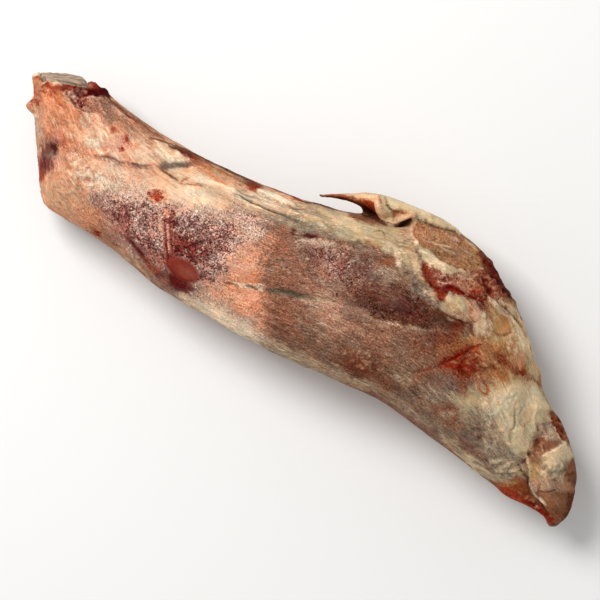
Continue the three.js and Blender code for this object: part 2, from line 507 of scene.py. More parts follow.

# The knuckle: membrane, fat and tendons, and the sawn strip round the bone; the ivory tufts are painted
# highlights on its wet strands and the rust tufts painted shade between them
KNUCKLE_MARKINGS: tuple[Marking | Tuft, ...] = (
    Area(
        T.PEACH, 1, ((15, 55), (130, 60), (225, 155), (240, 195), (160, 212), (95, 200), (30, 235)),
        edge=(14, 3),
    ),
    Area(T.BUFF, 0.9, ((36, 184), (70, 188), (104, 205), (142, 268), (90, 250), (36, 215)), edge=(9, 5)),
    Area(T.RUSSET, 0.7, ((78, 206), (100, 212), (132, 252), (112, 250), (86, 232)), edge=(7, 5)),
    Patch(T.SALMON, 0.5, (84, 214), (16, 11), 20, edge=(6, 4)),
    Patch(T.FROST, 0.85, (126, 190), (36, 16), 18, edge=(9, 7)),
    Patch(T.FROST, 0.6, (96, 190), (12, 10), 40, edge=(6, 6)),
    Area(T.BEIGE, 0.9, ((86, 96), (106, 95), (122, 110), (118, 122), (102, 122), (86, 110)), edge=(5, 4)),
    Tuft(T.TAUPE, 0.6, (102, 108), (20, 12), 40, 14, 16, 2.6, 42),
    Area(
        T.RUSSET, 0.5, ((84, 96), (106, 96), (130, 118), (142, 136), (126, 132), (104, 118), (88, 112)),
        edge=(6, 4),
    ),
    Tuft(T.PINK, 0.5, (104, 110), (20, 12), 40, 14, 14, 2.2, 42, rise=0.2),
    Area(
        T.ORANGE, 0.75, ((41, 88), (60, 90), (78, 112), (86, 131), (68, 141), (51, 121), (40, 100)),
        edge=(7, 5),
    ),
    Tuft(T.PEACH, 0.8, (57, 112), (24, 11), 62, 22, 18, 2.6, 60, rise=0.3),
    Tuft(T.RUST, 0.45, (54, 106), (20, 9), 62, 12, 16, 2.2, 62),
    Stroke(T.RUST, 0.7, ((57, 95), (60, 102), (65, 111)), 3, edge=(1.5, 3), rise=-0.3),
    Stroke(T.CREAM, 0.75, ((65, 92), (69, 100), (75, 110)), 5, edge=(1.5, 3), rise=0.4),
    Patch(T.SALMON, 0.6, (46, 126), (6, 14), 8, edge=(4, 3)),
    Patch(T.SALMON, 0.8, (47, 98), (6, 3.5), 65, edge=(3, 3)),
    Tuft(T.CREAM, 0.7, (76, 126), (20, 12), 55, 20, 15, 2.6, 52, rise=0.25),
    Tuft(T.IVORY_AND_HIGHLIGHT, 0.75, (95, 130), (16, 12), 60, 26, 12, 2.4, 62, rise=0.3),
    Tuft(T.IVORY_AND_HIGHLIGHT, 0.75, (104, 148), (20, 9), 20, 26, 11, 2.4, 35, 35, rise=0.3),
    Tuft(T.IVORY_AND_HIGHLIGHT, 0.6, (84, 160), (18, 9), 15, 22, 9, 2.2, 40, 60, rise=0.3),
    Tuft(T.CREAM, 0.6, (62, 178), (22, 14), 20, 22, 11, 2.2, 45, 40, rise=0.2),
    Tuft(T.RUST, 0.3, (92, 172), (26, 12), 15, 26, 9, 2, 45, 50),
    Tuft(T.RUST, 0.4, (80, 146), (46, 22), 40, 40, 13, 1.8, 55, 25, rise=-0.2),
    Tuft(T.IVORY_AND_HIGHLIGHT, 0.5, (110, 160), (50, 26), 30, 60, 10, 2, 45, 35, rise=0.25),
    Tuft(T.RUSSET, 0.55, (84, 172), (20, 12), 20, 26, 9, 1.7, 60, 70, rise=-0.3),
    Tuft(T.IVORY_AND_HIGHLIGHT, 0.7, (86, 172), (20, 12), 20, 26, 9, 2.2, 70, 60, rise=0.35),
    Tuft(T.RUST, 0.4, (70, 120), (30, 18), 60, 30, 12, 1.8, 60, 20),
    Patch(T.SALMON, 0.55, (80, 153), (22, 9), 20, edge=(6, 5)),
    Patch(T.RUSSET, 0.25, (80, 152), (20, 7), 20, edge=(6, 5)),
    Patch(T.SALMON, 0.35, (92, 124), (10, 12), 60, edge=(6, 5)),
    Patch(T.IVORY_AND_HIGHLIGHT, 0.5, (140, 154), (15, 7), 22, edge=(5, 4)),
    Patch(T.PINK, 0.6, (118, 146), (14, 8), 20, edge=(5, 4)),
    Stroke(T.IVORY_AND_HIGHLIGHT, 0.95, ((33, 109), (35, 114), (37.5, 119)), 4, edge=(1.5, 3), rise=0.4),
    Stroke(T.FROST, 0.8, ((36, 120), (38, 130), (41, 139)), 5, edge=(2, 3)),
    Tuft(T.BURGUNDY, 0.5, (56, 138), (15, 7), 38, 14, 12, 2.2, 42, rise=-0.2),
    Tuft(T.RUST, 0.5, (66, 145), (16, 6), 30, 10, 12, 2.2, 40),
    Area(
        T.BRUISE, 0.9, ((41, 140), (57, 141), (60, 152), (56, 166), (44, 176), (36, 168)),
        edge=(4, 4), rise=-0.5,
    ),
    Tuft(T.GREY, 0.6, (50, 155), (4, 6), 60, 8, 5, 2.4, 60, 50),
    Stroke(T.PINK, 0.6, ((38, 150), (38, 162), (38.5, 174)), 4, edge=(1.6, 1)),
    Tuft(T.OXBLOOD, 0.45, (58, 139), (11, 6), 40, 16, 9, 2, 45, 25),
    Patch(T.CLOT, 0.8, (52, 149), (6, 4), 50, edge=(2.5, 3), rise=-0.5),
    Patch(T.BURGUNDY, 0.7, (43, 164), (7, 5), 100, edge=(3, 3)),
    Patch(T.RED, 0.9, (41, 177), (5, 3), 60, edge=(2, 3)),
    Patch(T.BROWN, 0.6, (79, 187), (3.4, 3), 40, edge=(2.5, 2)),
    Patch(T.BURGUNDY, 0.6, (96, 198), (6, 4), 40, edge=(3, 3)),
    Stroke(T.BROWN, 0.75, ((103, 94), (118, 105), (130, 114), (144, 124), (165, 138)), 7, edge=(2, 2)),
    Stroke(T.PINK, 0.9, ((112, 105), (118, 110.5), (127, 117), (135, 121)), 4, edge=(1.2, 3), rise=0.4),
    Patch(T.CLOT, 0.8, (129.5, 116), (4, 1.8), 40, edge=(1.2, 1)),
    Stroke(T.TAUPE, 0.7, ((120, 114), (132, 126), (150, 136)), 4, edge=(2, 3)),
    Patch(T.RED, 0.75, (112.5, 129.5), (3.6, 2.2), 60, edge=(1.5, 1.5)),
    Patch(T.SALMON, 0.7, (128, 138), (10, 7), 40, edge=(4, 3)),
    Patch(T.SCARLET, 0.3, (122, 144), (9, 6), 30),
    Tuft(T.SCARLET, 0.9, (127, 139), (4, 5), 60, 12, 6, 2, 60, 50),
    Patch(T.RED, 1, (128, 139), (2.4, 3.4), 20, edge=(1.4, 2)),
    Patch(T.RED, 0.9, (122, 149), (2.6, 2.4), 0, edge=(1.5, 1.5)),
    Stroke(T.ORANGE, 0.5, ((132, 144), (150, 149), (172, 156)), 5, edge=(3, 3)),
    Tuft(T.IVORY_AND_HIGHLIGHT, 0.65, (150, 146), (22, 8), 25, 20, 13, 2.2, 38, rise=0.25),
    # The sawn strip and the torn edge under it
    Area(
        T.GRISTLE, 1,
        (
            (30.5, 79), (39, 71), (56.4, 69.5), (79.3, 77), (92.7, 80), (100, 84), (106, 88), (90.8, 87.4),
            (77.4, 89), (64, 87.4), (52.5, 83), (46, 78.4), (37, 77.5),
        ),
        edge=(1.5, 1),
    ),
    Patch(T.PINK, 0.9, (90, 83.5), (8, 3), 18, edge=(1.5, 2)),
    Tuft(T.BURGUNDY, 0.8, (92, 84), (9, 2.4), 18, 8, 6, 1.7, 20, 30, rise=-0.3),
    Stroke(T.ORANGE, 0.8, ((34, 88), (44, 91), (54, 93), (64, 96)), 9, edge=(3, 3)),
    Tuft(T.RED, 0.7, (52, 91), (16, 4), 12, 18, 6, 2, 40, 40),
    Area(T.PEACH, 0.9, ((30, 80), (34, 77), (44, 79), (44, 89), (36, 91), (32, 86)), edge=(2, 1.5)),
    Patch(T.ORANGE, 0.95, (37, 84), (5.4, 4.6), 40, edge=(2, 1)),
    Stroke(T.RED, 0.9, ((32, 81), (36, 79), (42, 79.6)), 2.6, edge=(1.2, 1)),
    Stroke(T.RED, 0.6, ((34, 92), (39, 95), (43, 99)), 3, edge=(1.6, 1.5)),
    Area(
        T.BURGUNDY, 0.95, ((63, 87), (88, 93), (88, 97), (83, 108), (80.5, 114), (75, 107), (67, 95)),
        edge=(2, 1.5), rise=-0.6,
    ),
    Tuft(T.PINK, 0.7, (76, 98), (9, 6), 50, 16, 5, 2.6, 50, 60, rise=0.5),
    Tuft(T.BURGUNDY, 0.8, (79, 100), (12, 7), 50, 28, 4, 2, 50, 60, rise=-0.3),
    Stroke(T.DARK_RED, 0.9, ((66, 92), (72, 101), (79, 111.5)), 2.4, edge=(1, 1), rise=-0.3),
    Patch(T.SALMON, 0.8, (79, 109.5), (3.4, 2.2), 60, edge=(1.5, 3)),
    Stroke(T.RED, 0.9, ((44, 87), (52, 88.5), (60, 90), (67, 92)), 3.4, 0.3, edge=(1.2, 2.4), rise=-0.3),
    Patch(T.SALMON, 0.8, (48, 91), (3, 1.8), 20, edge=(1.2, 1), rise=0.3),
    Stroke(T.DARK_RED, 1, ((62, 90), (74, 91.5), (86, 92.5), (102, 91)), 8, 0.3, edge=(1.2, 1.5), rise=-0.3),
    Tuft(T.PINK, 0.6, (72, 95), (8, 3), 14, 12, 3, 2.4, 40, 60, rise=0.4),
    Tuft(T.DARK_RED, 0.8, (72, 90), (12, 3), 8, 14, 4, 2, 20, 60, rise=-0.3),
    Area(
        T.CLOT, 1, ((86, 88), (96, 87), (104, 84), (112, 86), (112, 98), (104, 97), (92, 94)),
        edge=(1.5, 1.5),
    ),
    Tuft(T.CLOT, 0.9, (88, 92), (20, 4), 4, 26, 4, 2.2, 30, 60, rise=-0.4),
    Tuft(T.PINK, 0.4, (76, 92), (12, 4), 10, 18, 3, 1.8, 40, 70, rise=0.4),
    Tuft(T.CLOT, 1, (99, 90), (8, 4), 20, 9, 6, 2.4, 40, 40, rise=-0.4),
    Tuft(T.RED, 0.6, (97, 88), (8, 3), 20, 8, 5, 1.8, 20, 40, rise=0.3),
    Tuft(T.OXBLOOD, 0.8, (66, 91), (8, 3), 14, 10, 3, 2, 30, 60, rise=0.3),
    Stroke(T.IVORY_AND_HIGHLIGHT, 1, ((34.5, 76.5), (40, 75.3), (45.5, 77.4)), 3, edge=(1.2, 0.8), rise=0.4),
    Stroke(T.IVORY_AND_HIGHLIGHT, 0.9, ((45, 84), (50, 85), (55, 85.8), (62, 87.4)), 1.9, edge=(0.9, 1.6), rise=0.4),
    Patch(T.RED, 0.75, (36, 101), (3, 5), 90, edge=(2, 3)),
    Patch(T.CREAM, 0.9, (28, 105), (5, 4), 0, edge=(2, 1)),
)
# The sunken vein beside the knuckle and its small branches
VEIN_MARKINGS: tuple[Marking | Tuft, ...] = (
    Stroke(T.RUST, 0.6, ((82, 152), (90, 155), (97, 157)), 3, edge=(1.5, 1)),
    Stroke(T.BEIGE, 0.9, ((94, 157.5), (110, 160), (125, 164.5), (152, 167)), 4.5, edge=(1.2, 1), rise=-0.5),
    Stroke(T.BRUISE, 0.9, ((96, 155.5), (112, 157.5), (124, 162)), 2.2, rise=-0.3),
    Stroke(T.BRUISE, 0.8, ((127, 161.5), (138, 164.5), (152, 165.5)), 2.2),
    Stroke(T.RUST, 0.7, ((130, 167), (142, 168.5), (153, 168.5)), 1.8),
    Patch(T.VEIN, 0.95, (164, 166), (5.5, 3), 0, edge=(1.6, 2), rise=-0.4),
    Stroke(T.VEIN, 0.9, ((160, 167), (176, 165.5), (190, 163), (206, 161.5)), 5, edge=(1.8, 2), rise=-0.3),
    # Painted shade in a crease by the vein's end
    Stroke(T.CREASE_SHADE, 0.9, ((162, 169), (170, 175), (179, 180.5)), 2.6, edge=(0.9, 0.8), rise=-0.4),
    Stroke(T.RUST, 0.8, ((181, 184), (185, 180.5), (190, 178)), 2),
    Stroke(T.RUST, 0.8, ((180, 184.5), (192, 185), (206, 187.5)), 1.8),
    Stroke(T.BRUISE, 0.7, ((192, 182), (198, 184.5), (207, 185.5)), 1.8),
)
# The pale membrane along the upper edge, whose cream and ivory carry painted highlights along its crest
RIDGE_MARKINGS: tuple[Marking | Tuft, ...] = (
    Area(
        T.SILVER, 0.9, ((150, 136), (250, 176), (330, 204), (345, 238), (300, 226), (230, 208), (170, 180)),
        edge=(8, 3),
    ),
    Area(T.CREAM, 0.9, ((160, 170), (178, 172), (206, 190), (228, 200), (214, 214), (172, 210), (160, 190))),
    Patch(T.IVORY_AND_HIGHLIGHT, 0.55, (200, 199), (18, 8), 22, edge=(6, 5)),
    Tuft(T.IVORY_AND_HIGHLIGHT, 0.6, (190, 198), (24, 12), 25, 26, 11, 2.4, 40, 30, rise=0.2),
    Patch(T.PINK, 0.35, (185, 200), (10, 6), 20, edge=(4, 3)),
    Area(
        T.CREAM, 0.9, ((152, 142), (186, 154), (214, 172), (236, 186), (236, 194), (196, 184), (178, 172)),
        edge=(4, 3),
    ),
    Tuft(T.IVORY_AND_HIGHLIGHT, 0.85, (176, 157), (22, 8), 28, 26, 13, 2.4, 50, 15, rise=0.3),
    Patch(T.IVORY_AND_HIGHLIGHT, 0.85, (201, 178), (9, 6), 35, edge=(5, 2), rise=0.5),
    Stroke(T.IVORY_AND_HIGHLIGHT, 0.9, ((206, 181), (220, 185.5), (235, 190.5)), 4, edge=(1.8, 1), rise=0.5),
    Stroke(T.OLIVE, 0.8, ((196, 166), (212, 169), (230, 176)), 5, edge=(2, 1.5)),
    Stroke(T.ORANGE, 0.9, ((208, 171), (216, 177), (228, 184)), 5, edge=(2, 1.5)),
    Stroke(T.PEACH, 0.9, ((220, 174), (236, 183), (250, 188.5)), 3.5, edge=(1.5, 3), rise=0.3),
    Stroke(T.DARK_RED, 0.95, ((168, 146), (186, 153), (198, 160), (212, 167)), 4.5, edge=(1.4, 1.2)),
    Stroke(T.RED, 0.7, ((178, 152), (194, 160), (206, 166)), 3, edge=(1.4, 1)),
    Stroke(T.BROWN, 0.9, ((150, 137), (180, 147), (200, 156), (230, 170), (262, 186)), 5, edge=(1.5, 1)),
    Stroke(T.RUST, 0.8, ((214, 168), (232, 176), (250, 185)), 3.5, edge=(1.5, 1)),
    Patch(T.RED, 0.85, (254, 187), (9, 5), 32, edge=(2.5, 2)),
    Patch(T.BROWN, 0.6, (252, 184), (9, 3.4), 28, edge=(2, 1.5)),
    Stroke(T.IVORY_AND_HIGHLIGHT, 0.9, ((258, 190.5), (272, 196), (282, 201), (294, 205)), 6.5, edge=(1.8, 1), rise=0.6),
    Stroke(T.SALMON, 0.9, ((266, 188), (280, 193), (292, 198), (304, 202)), 4, edge=(1.5, 1)),
    Stroke(T.DARK_RED, 0.9, ((272, 188.5), (290, 195.5), (304, 201.5), (316, 204)), 2.5, edge=(1, 0.8)),
    Stroke(T.CREAM, 0.65, ((218, 191), (240, 199), (266, 205), (290, 213)), 13, edge=(4, 3)),
    Tuft(T.IVORY_AND_HIGHLIGHT, 0.65, (250, 199), (28, 6), 23, 26, 11, 2, 24, 14, rise=0.2),
    Stroke(T.PEACH, 0.5, ((240, 189), (262, 199), (286, 210), (306, 217)), 4, edge=(2, 3), rise=0.4),
    Stroke(
        T.BROWN, 0.9, ((262, 194.5), (274, 201), (287, 206.5), (298, 208.5), (311, 208.5)), 1.8,
        edge=(0.9, 0.8), rise=-0.5,
    ),
    Stroke(
        T.SEAM, 1, ((234, 193), (243, 197), (257, 204.5), (279, 213), (300, 221), (316, 227)), 2.2,
        edge=(0.9, 0.6), rise=-0.7,
    ),
    Stroke(T.SEAM, 0.6, ((236, 190.5), (252, 197), (268, 204)), 1.6, edge=(0.9, 0.6), rise=-0.3),
    Area(T.GREY, 0.75, ((258, 210), (290, 219), (316, 231), (300, 232), (272, 222)), edge=(4, 3)),
    Stroke(T.PALE_FAT, 0.8, ((288, 211), (306, 217), (326, 223), (342, 229)), 6, edge=(2, 3), rise=0.5),
    Stroke(T.AMBER, 0.8, ((300, 215), (312, 221), (332, 222.5)), 1.6, edge=(0.9, 0.6), rise=-0.3),
    Stroke(T.OLIVE, 0.7, ((292, 218), (312, 226), (336, 233)), 1.8, edge=(0.9, 0.6), rise=-0.3),
    Stroke(T.IVORY_AND_HIGHLIGHT, 0.8, ((322, 226), (346, 236), (372, 240), (392, 244)), 3, edge=(1.5, 3), rise=0.5),
    Stroke(T.OLIVE, 0.7, ((356, 240), (374, 243.5), (390, 247)), 4, edge=(2, 3)),
)
# The bruised flexor muscles under their membrane
FLEXOR_MARKINGS: tuple[Marking | Tuft, ...] = (
    Area(
        T.LILAC, 0.9,
        (
            (92, 196), (140, 200), (176, 208), (240, 208), (264, 226), (240, 246), (214, 286), (172, 292),
            (118, 240),
        ),
        edge=(9, 8),
    ),
    Area(
        T.PURPLE, 0.85,
        (
            (104, 208), (132, 204), (160, 226), (196, 220), (232, 226), (226, 246), (208, 284), (170, 282),
            (126, 236),
        ),
        edge=(8, 8),
    ),
    Area(
        T.BURGUNDY, 0.85, ((172, 232), (196, 230), (214, 240), (208, 256), (190, 260), (176, 258)),
        edge=(5, 7),
    ),
    Area(T.BURGUNDY, 0.45, ((124, 228), (144, 238), (160, 260), (158, 272), (138, 256)), edge=(6, 7)),
    Patch(T.LILAC, 0.7, (150, 230), (16, 9), 20, edge=(5, 7)),
    Patch(T.LILAC, 0.7, (214, 264), (9, 13), 30, edge=(5, 6)),
    Patch(T.LILAC, 0.8, (202, 230), (24, 7), 8, edge=(5, 6)),
    Patch(T.FROST, 0.75, (218, 215), (17, 7), 12, edge=(5, 5)),
    Patch(T.PURPLE, 0.8, (166, 220), (10, 9), 40, edge=(5, 5)),
    Patch(T.BURGUNDY, 0.45, (171, 250), (7, 12), 10, edge=(5, 5)),
    Patch(T.BURGUNDY, 0.5, (170, 217), (8, 7), 40, edge=(4, 5)),
    Patch(T.PURPLE, 0.6, (110, 214), (10, 7), 30, edge=(5, 6)),
    Patch(T.FROST, 0.7, (246, 228), (16, 12), 25, edge=(6, 6)),
    Patch(T.LILAC, 0.5, (252, 222), (14, 6), 22, edge=(4, 6)),
    Area(T.RUSSET, 0.7, ((268, 226), (284, 232), (290, 252), (274, 258), (262, 246))),
    Patch(T.SALMON, 0.5, (270, 240), (6, 9), 20),
    Tuft(T.RUSSET, 0.6, (276, 242), (12, 14), 80, 20, 9, 2, 75, 25),
    Stroke(T.BRUISE, 0.7, ((127, 236), (138, 252), (152, 268), (168, 283), (190, 290)), 9, 0.4, edge=(3, 3)),
    Stroke(T.DARK_RED, 0.9, ((128, 238), (140, 254), (153, 269), (166, 281)), 4, edge=(1.4, 2), rise=-0.3),
    Stroke(T.CREAM, 0.7, ((160.5, 214), (160.5, 226), (161.5, 236)), 2.4, edge=(1, 1.5)),
    Stroke(
        T.DARK_RED, 1, ((164.6, 219), (165, 232), (166, 246), (168, 262)), 2.6, 0.2,
        edge=(0.9, 0.6), rise=-0.4,
    ),
    Stroke(T.PINK, 0.9, ((167.4, 222), (168, 236), (169.4, 254)), 1.8, edge=(0.8, 0.5), rise=0.3),
    Stroke(T.DARK_RED, 0.9, ((169.6, 224), (170.4, 238), (172, 256)), 2.2, edge=(0.9, 0.6), rise=-0.3),
    Stroke(T.RED, 0.6, ((153, 211), (154, 218), (156, 224)), 2.6, edge=(1.4, 3)),
    Patch(T.SALMON, 0.9, (167, 214), (4, 2.4), 60, edge=(1.5, 2)),
    Stroke(T.BRUISE, 0.9, ((174, 212), (172, 219), (168, 221)), 2.4, edge=(1, 1.2)),
    Patch(T.BURGUNDY, 0.8, (172, 224), (5, 4), 60, edge=(2, 2)),
    Patch(T.SALMON, 0.95, (156, 195), (9.5, 7.5), 30, edge=(2, 3)),
    Patch(T.RED, 1, (156.5, 193.5), (6, 3.4), 35, edge=(1.6, 2.5)),
    Patch(T.RED, 1, (157, 200), (3.4, 2.6), 60, edge=(1.4, 1.5)),
    Patch(T.DARK_RED, 0.9, (162, 197), (2.4, 1.8), 30, edge=(1, 1)),
    Patch(T.BRUISE, 0.9, (180, 283), (16, 6), 28, edge=(2.5, 2)),
    Stroke(T.BRUISE, 0.7, ((154, 268), (162, 276), (172, 286), (184, 290)), 9, edge=(3, 3)),
    Patch(T.DARK_RED, 0.7, (170, 262), (6, 8), 30, edge=(3, 3)),
    Patch(T.DARK_RED, 0.85, (176, 282), (14, 6), 30, edge=(3, 2)),
    Patch(T.OXBLOOD, 1, (183.5, 269.5), (18, 9.6), 28, edge=(1.6, 0.6), rise=0.5),
    Stroke(T.DARK_RED, 0.55, ((167, 263), (174, 272), (184, 279), (196, 281)), 4, edge=(2.2, 0.6)),
    Patch(T.SALMON, 0.14, (188, 272), (8, 4), 28, edge=(4, 1)),
    Patch(T.RED, 0.9, (96.5, 233), (4, 2.6), 30, edge=(1.5, 3)),
)
# The belly of the muscle and what runs on from it to the elbow, with painted shade in its dip and creases and
# painted highlights on its pale strands
BELLY_MARKINGS: tuple[Marking | Tuft, ...] = (
    Area(
        T.SALMON, 0.9, ((222, 254), (240, 244), (250, 248), (258, 262), (256, 284), (246, 288), (216, 280)),
        edge=(13, 7),
    ),
    Area(
        T.SALMON, 0.95, ((198, 284), (224, 282), (262, 292), (266, 318), (258, 340), (230, 324), (196, 304)),
        edge=(12, 7),
    ),
    Patch(T.SALMON, 0.5, (262, 256), (9, 16), 10, edge=(6, 5)),
    Patch(T.ORANGE, 0.55, (244, 274), (14, 8), 40, edge=(6, 5)),
    Patch(T.ORANGE, 0.5, (252, 298), (9, 6), 60, edge=(5, 4)),
    Patch(T.PINK, 0.5, (250, 318), (12, 5), 35),
    Tuft(T.CREAM, 0.5, (240, 264), (14, 12), 30, 24, 7, 2, 60, 50),
    Tuft(T.CREAM, 0.45, (228, 300), (24, 10), 30, 30, 7, 2, 45, 40),
    Tuft(T.RUSSET, 0.4, (246, 310), (20, 14), 40, 22, 8, 2, 45, 40),
    Area(T.RUSSET, 0.6, ((266, 248), (300, 256), (340, 300), (300, 296), (270, 290)), edge=(12, 6)),
    Tuft(T.TAUPE, 0.45, (284, 276), (24, 14), 40, 30, 10, 2, 40, 25),
    Area(T.RUSSET, 0.6, ((270, 294), (288, 298), (298, 330), (292, 350), (270, 340)), edge=(12, 6)),
    Tuft(T.RUSSET, 0.5, (264, 312), (10, 26), 0, 30, 8, 1.8, 40, 35),
    Area(
        T.BEIGE, 0.65, ((292, 272), (326, 284), (350, 312), (342, 338), (316, 322), (298, 296)),
        edge=(10, 6),
    ),
    Tuft(T.SILVER, 0.3, (318, 316), (30, 16), 35, 44, 8, 1.8, 38, 30),
    Tuft(T.BROWN, 0.35, (290, 340), (26, 12), 35, 26, 10, 2, 36, 20),
    Stroke(T.GREY, 0.5, ((266, 252), (276, 259), (288, 268)), 4, edge=(2, 3)),
    Patch(T.FROST, 0.5, (322, 244), (20, 7), 20, edge=(5, 5)),
    Area(
        T.MAUVE, 0.8, ((306, 248), (352, 246), (380, 262), (376, 296), (330, 294), (312, 274)),
        edge=(8, 7),
    ),
    Area(T.PURPLE, 0.4, ((316, 252), (348, 250), (358, 262), (344, 280), (322, 274)), edge=(7, 7)),
    Patch(T.BURGUNDY, 0.35, (334, 258), (16, 7), 25, edge=(6, 7)),
    Patch(T.VEIN, 0.65, (360, 265), (13, 8), 35, edge=(6, 6)),
    Patch(T.GREY, 0.45, (360, 249), (12, 4), 25, edge=(4, 5)),
    Patch(T.FROST, 0.45, (328, 248), (13, 5), 15, edge=(5, 6)),
    Patch(T.BEIGE, 0.5, (328, 284), (16, 10), 35, edge=(7, 6)),
    Patch(T.FROST, 0.25, (384, 275), (12, 7), 30, edge=(6, 6)),
    Patch(T.BRUISE, 0.5, (318, 258), (7, 5), 30, edge=(4, 5)),
    # Painted shade in the dip where the muscle runs under the fat
    Area(
        T.SHADED_DIP, 0.95,
        (
            (346, 290), (362, 290), (384, 294), (398, 282), (416, 288), (432, 306), (460, 330), (440, 334),
            (392, 324), (356, 306),
        ),
        edge=(7, 6),
    ),
    Patch(T.GREY, 0.45, (408, 278), (15, 8), 45, edge=(6, 6)),
    Tuft(T.SILVER, 0.22, (402, 280), (22, 9), 42, 30, 12, 1.8, 50, 30),
    Patch(T.CLOT, 0.3, (408, 312), (22, 6), 32, edge=(5, 4)),
    Tuft(T.BRUISE, 0.5, (392, 304), (26, 10), 38, 26, 9, 1.8, 36, 25),
    Patch(T.RUST, 0.75, (387, 261), (8, 4), 25, edge=(3, 3)),
    Patch(T.BRUISE, 0.6, (404, 306), (16, 7), 38, edge=(5, 5)),
    # Painted shade, deepest at the foot of the dip
    Area(T.CREASE_SHADE, 0.75, ((428, 306), (444, 310), (466, 326), (462, 334), (444, 330)), edge=(4, 4)),
    Stroke(T.VEIN, 0.6, ((346, 299), (362, 305), (385, 312)), 5, edge=(3, 3)),
    Patch(T.CLOT, 0.9, (293.5, 229.4), (2.6, 2), 30, edge=(1.2, 1), rise=-0.4),
    Patch(T.CLOT, 0.9, (292.6, 233.4), (2, 1.6), 30, edge=(1.2, 1), rise=-0.4),
    Patch(T.BRUISE, 1, (311, 234.5), (9, 3), 3, edge=(1.4, 1.2), rise=-0.7),
    Patch(T.CLOT, 0.8, (311, 234.5), (6, 1.6), 3, edge=(1.2, 1)),
    Stroke(T.IVORY_AND_HIGHLIGHT, 0.75, ((231, 283), (240, 284), (250, 286), (262, 290)), 3.6, edge=(1.5, 1.5)),
    Stroke(T.FROST, 0.8, ((246, 285), (257, 287), (268, 290)), 3.5, edge=(1.5, 1.5)),
    Stroke(T.CREASE_SHADE, 0.9, ((225, 283), (232, 284), (238, 286)), 1.8, rise=-0.4),
    Stroke(T.CREASE_SHADE, 0.9, ((246, 285), (252, 287), (258, 290)), 2.2, edge=(0.9, 1.2), rise=-0.5),
    Stroke(
        T.SEAM, 0.95, ((266, 290), (282, 292), (296, 295), (312, 298), (326, 301)), 6,
        edge=(2, 1.5), rise=-0.6,
    ),
    Stroke(T.CREASE_SHADE, 0.6, ((288, 291), (298, 294), (306, 297)), 3, edge=(1.5, 1)),
    Stroke(T.BEIGE, 0.7, ((318, 300), (334, 304), (352, 310), (372, 318)), 5, edge=(2, 2)),
    # Painted shade along the dip
    Stroke(T.SHADED_DIP, 0.75, ((352, 302), (380, 310), (408, 318), (430, 326)), 9, edge=(3, 3)),
    Tuft(T.RED, 0.3, (330, 294), (22, 4), 20, 14, 12, 2, 22, 10),
    Area(
        T.BROWN, 0.45, ((400, 318), (440, 330), (470, 334), (462, 352), (430, 354), (404, 338)),
        edge=(8, 5),
    ),
    Stroke(T.SILVER, 0.4, ((364, 319), (396, 325), (420, 330), (446, 334)), 4, edge=(2, 3), rise=0.5),
    Tuft(T.BEIGE, 0.35, (404, 332), (34, 7), 22, 30, 12, 1.8, 20, 12, rise=0.2),
    Tuft(T.BEIGE, 0.3, (380, 342), (36, 10), 26, 34, 9, 1.8, 28, 20),
    Area(
        T.BROWN, 0.4, ((330, 352), (372, 360), (424, 384), (436, 402), (410, 400), (360, 384), (322, 366)),
        edge=(9, 6),
    ),
    Tuft(T.BROWN, 0.3, (360, 362), (44, 10), 28, 36, 12, 1.8, 30, 14),
    Stroke(T.SILVER, 0.75, ((170, 292), (214, 318), (262, 345), (320, 369), (372, 386)), 16, edge=(5, 4)),
    Stroke(T.FROST, 0.75, ((172, 284), (200, 300), (226, 315), (252, 331), (266, 338)), 22, edge=(6, 5)),
    Stroke(T.IVORY_AND_HIGHLIGHT, 0.65, ((184, 298), (214, 315), (250, 333)), 14, edge=(5, 4), rise=0.3),
    Stroke(T.GREY, 0.7, ((262, 350), (290, 362), (330, 376)), 8, edge=(3, 3)),
    Tuft(T.IVORY_AND_HIGHLIGHT, 0.7, (226, 324), (48, 6), 30, 40, 15, 1.8, 30, 8, rise=0.3),
    Tuft(T.CREASE_SHADE, 0.5, (262, 352), (44, 6), 31, 30, 14, 1.8, 32, 8, rise=-0.2),
    Tuft(T.SILVER, 0.6, (290, 360), (34, 6), 30, 24, 14, 2, 30, 8, rise=0.2),
    Stroke(T.TAUPE, 0.7, ((112, 243), (140, 266), (168, 288)), 9, edge=(4, 4)),
    Tuft(T.CREAM, 0.45, (140, 264), (30, 5), 40, 20, 9, 2, 40, 14),
    Stroke(T.CREASE_SHADE, 0.5, ((160, 284), (200, 312), (250, 345)), 2.4, edge=(1.2, 1.5)),
)
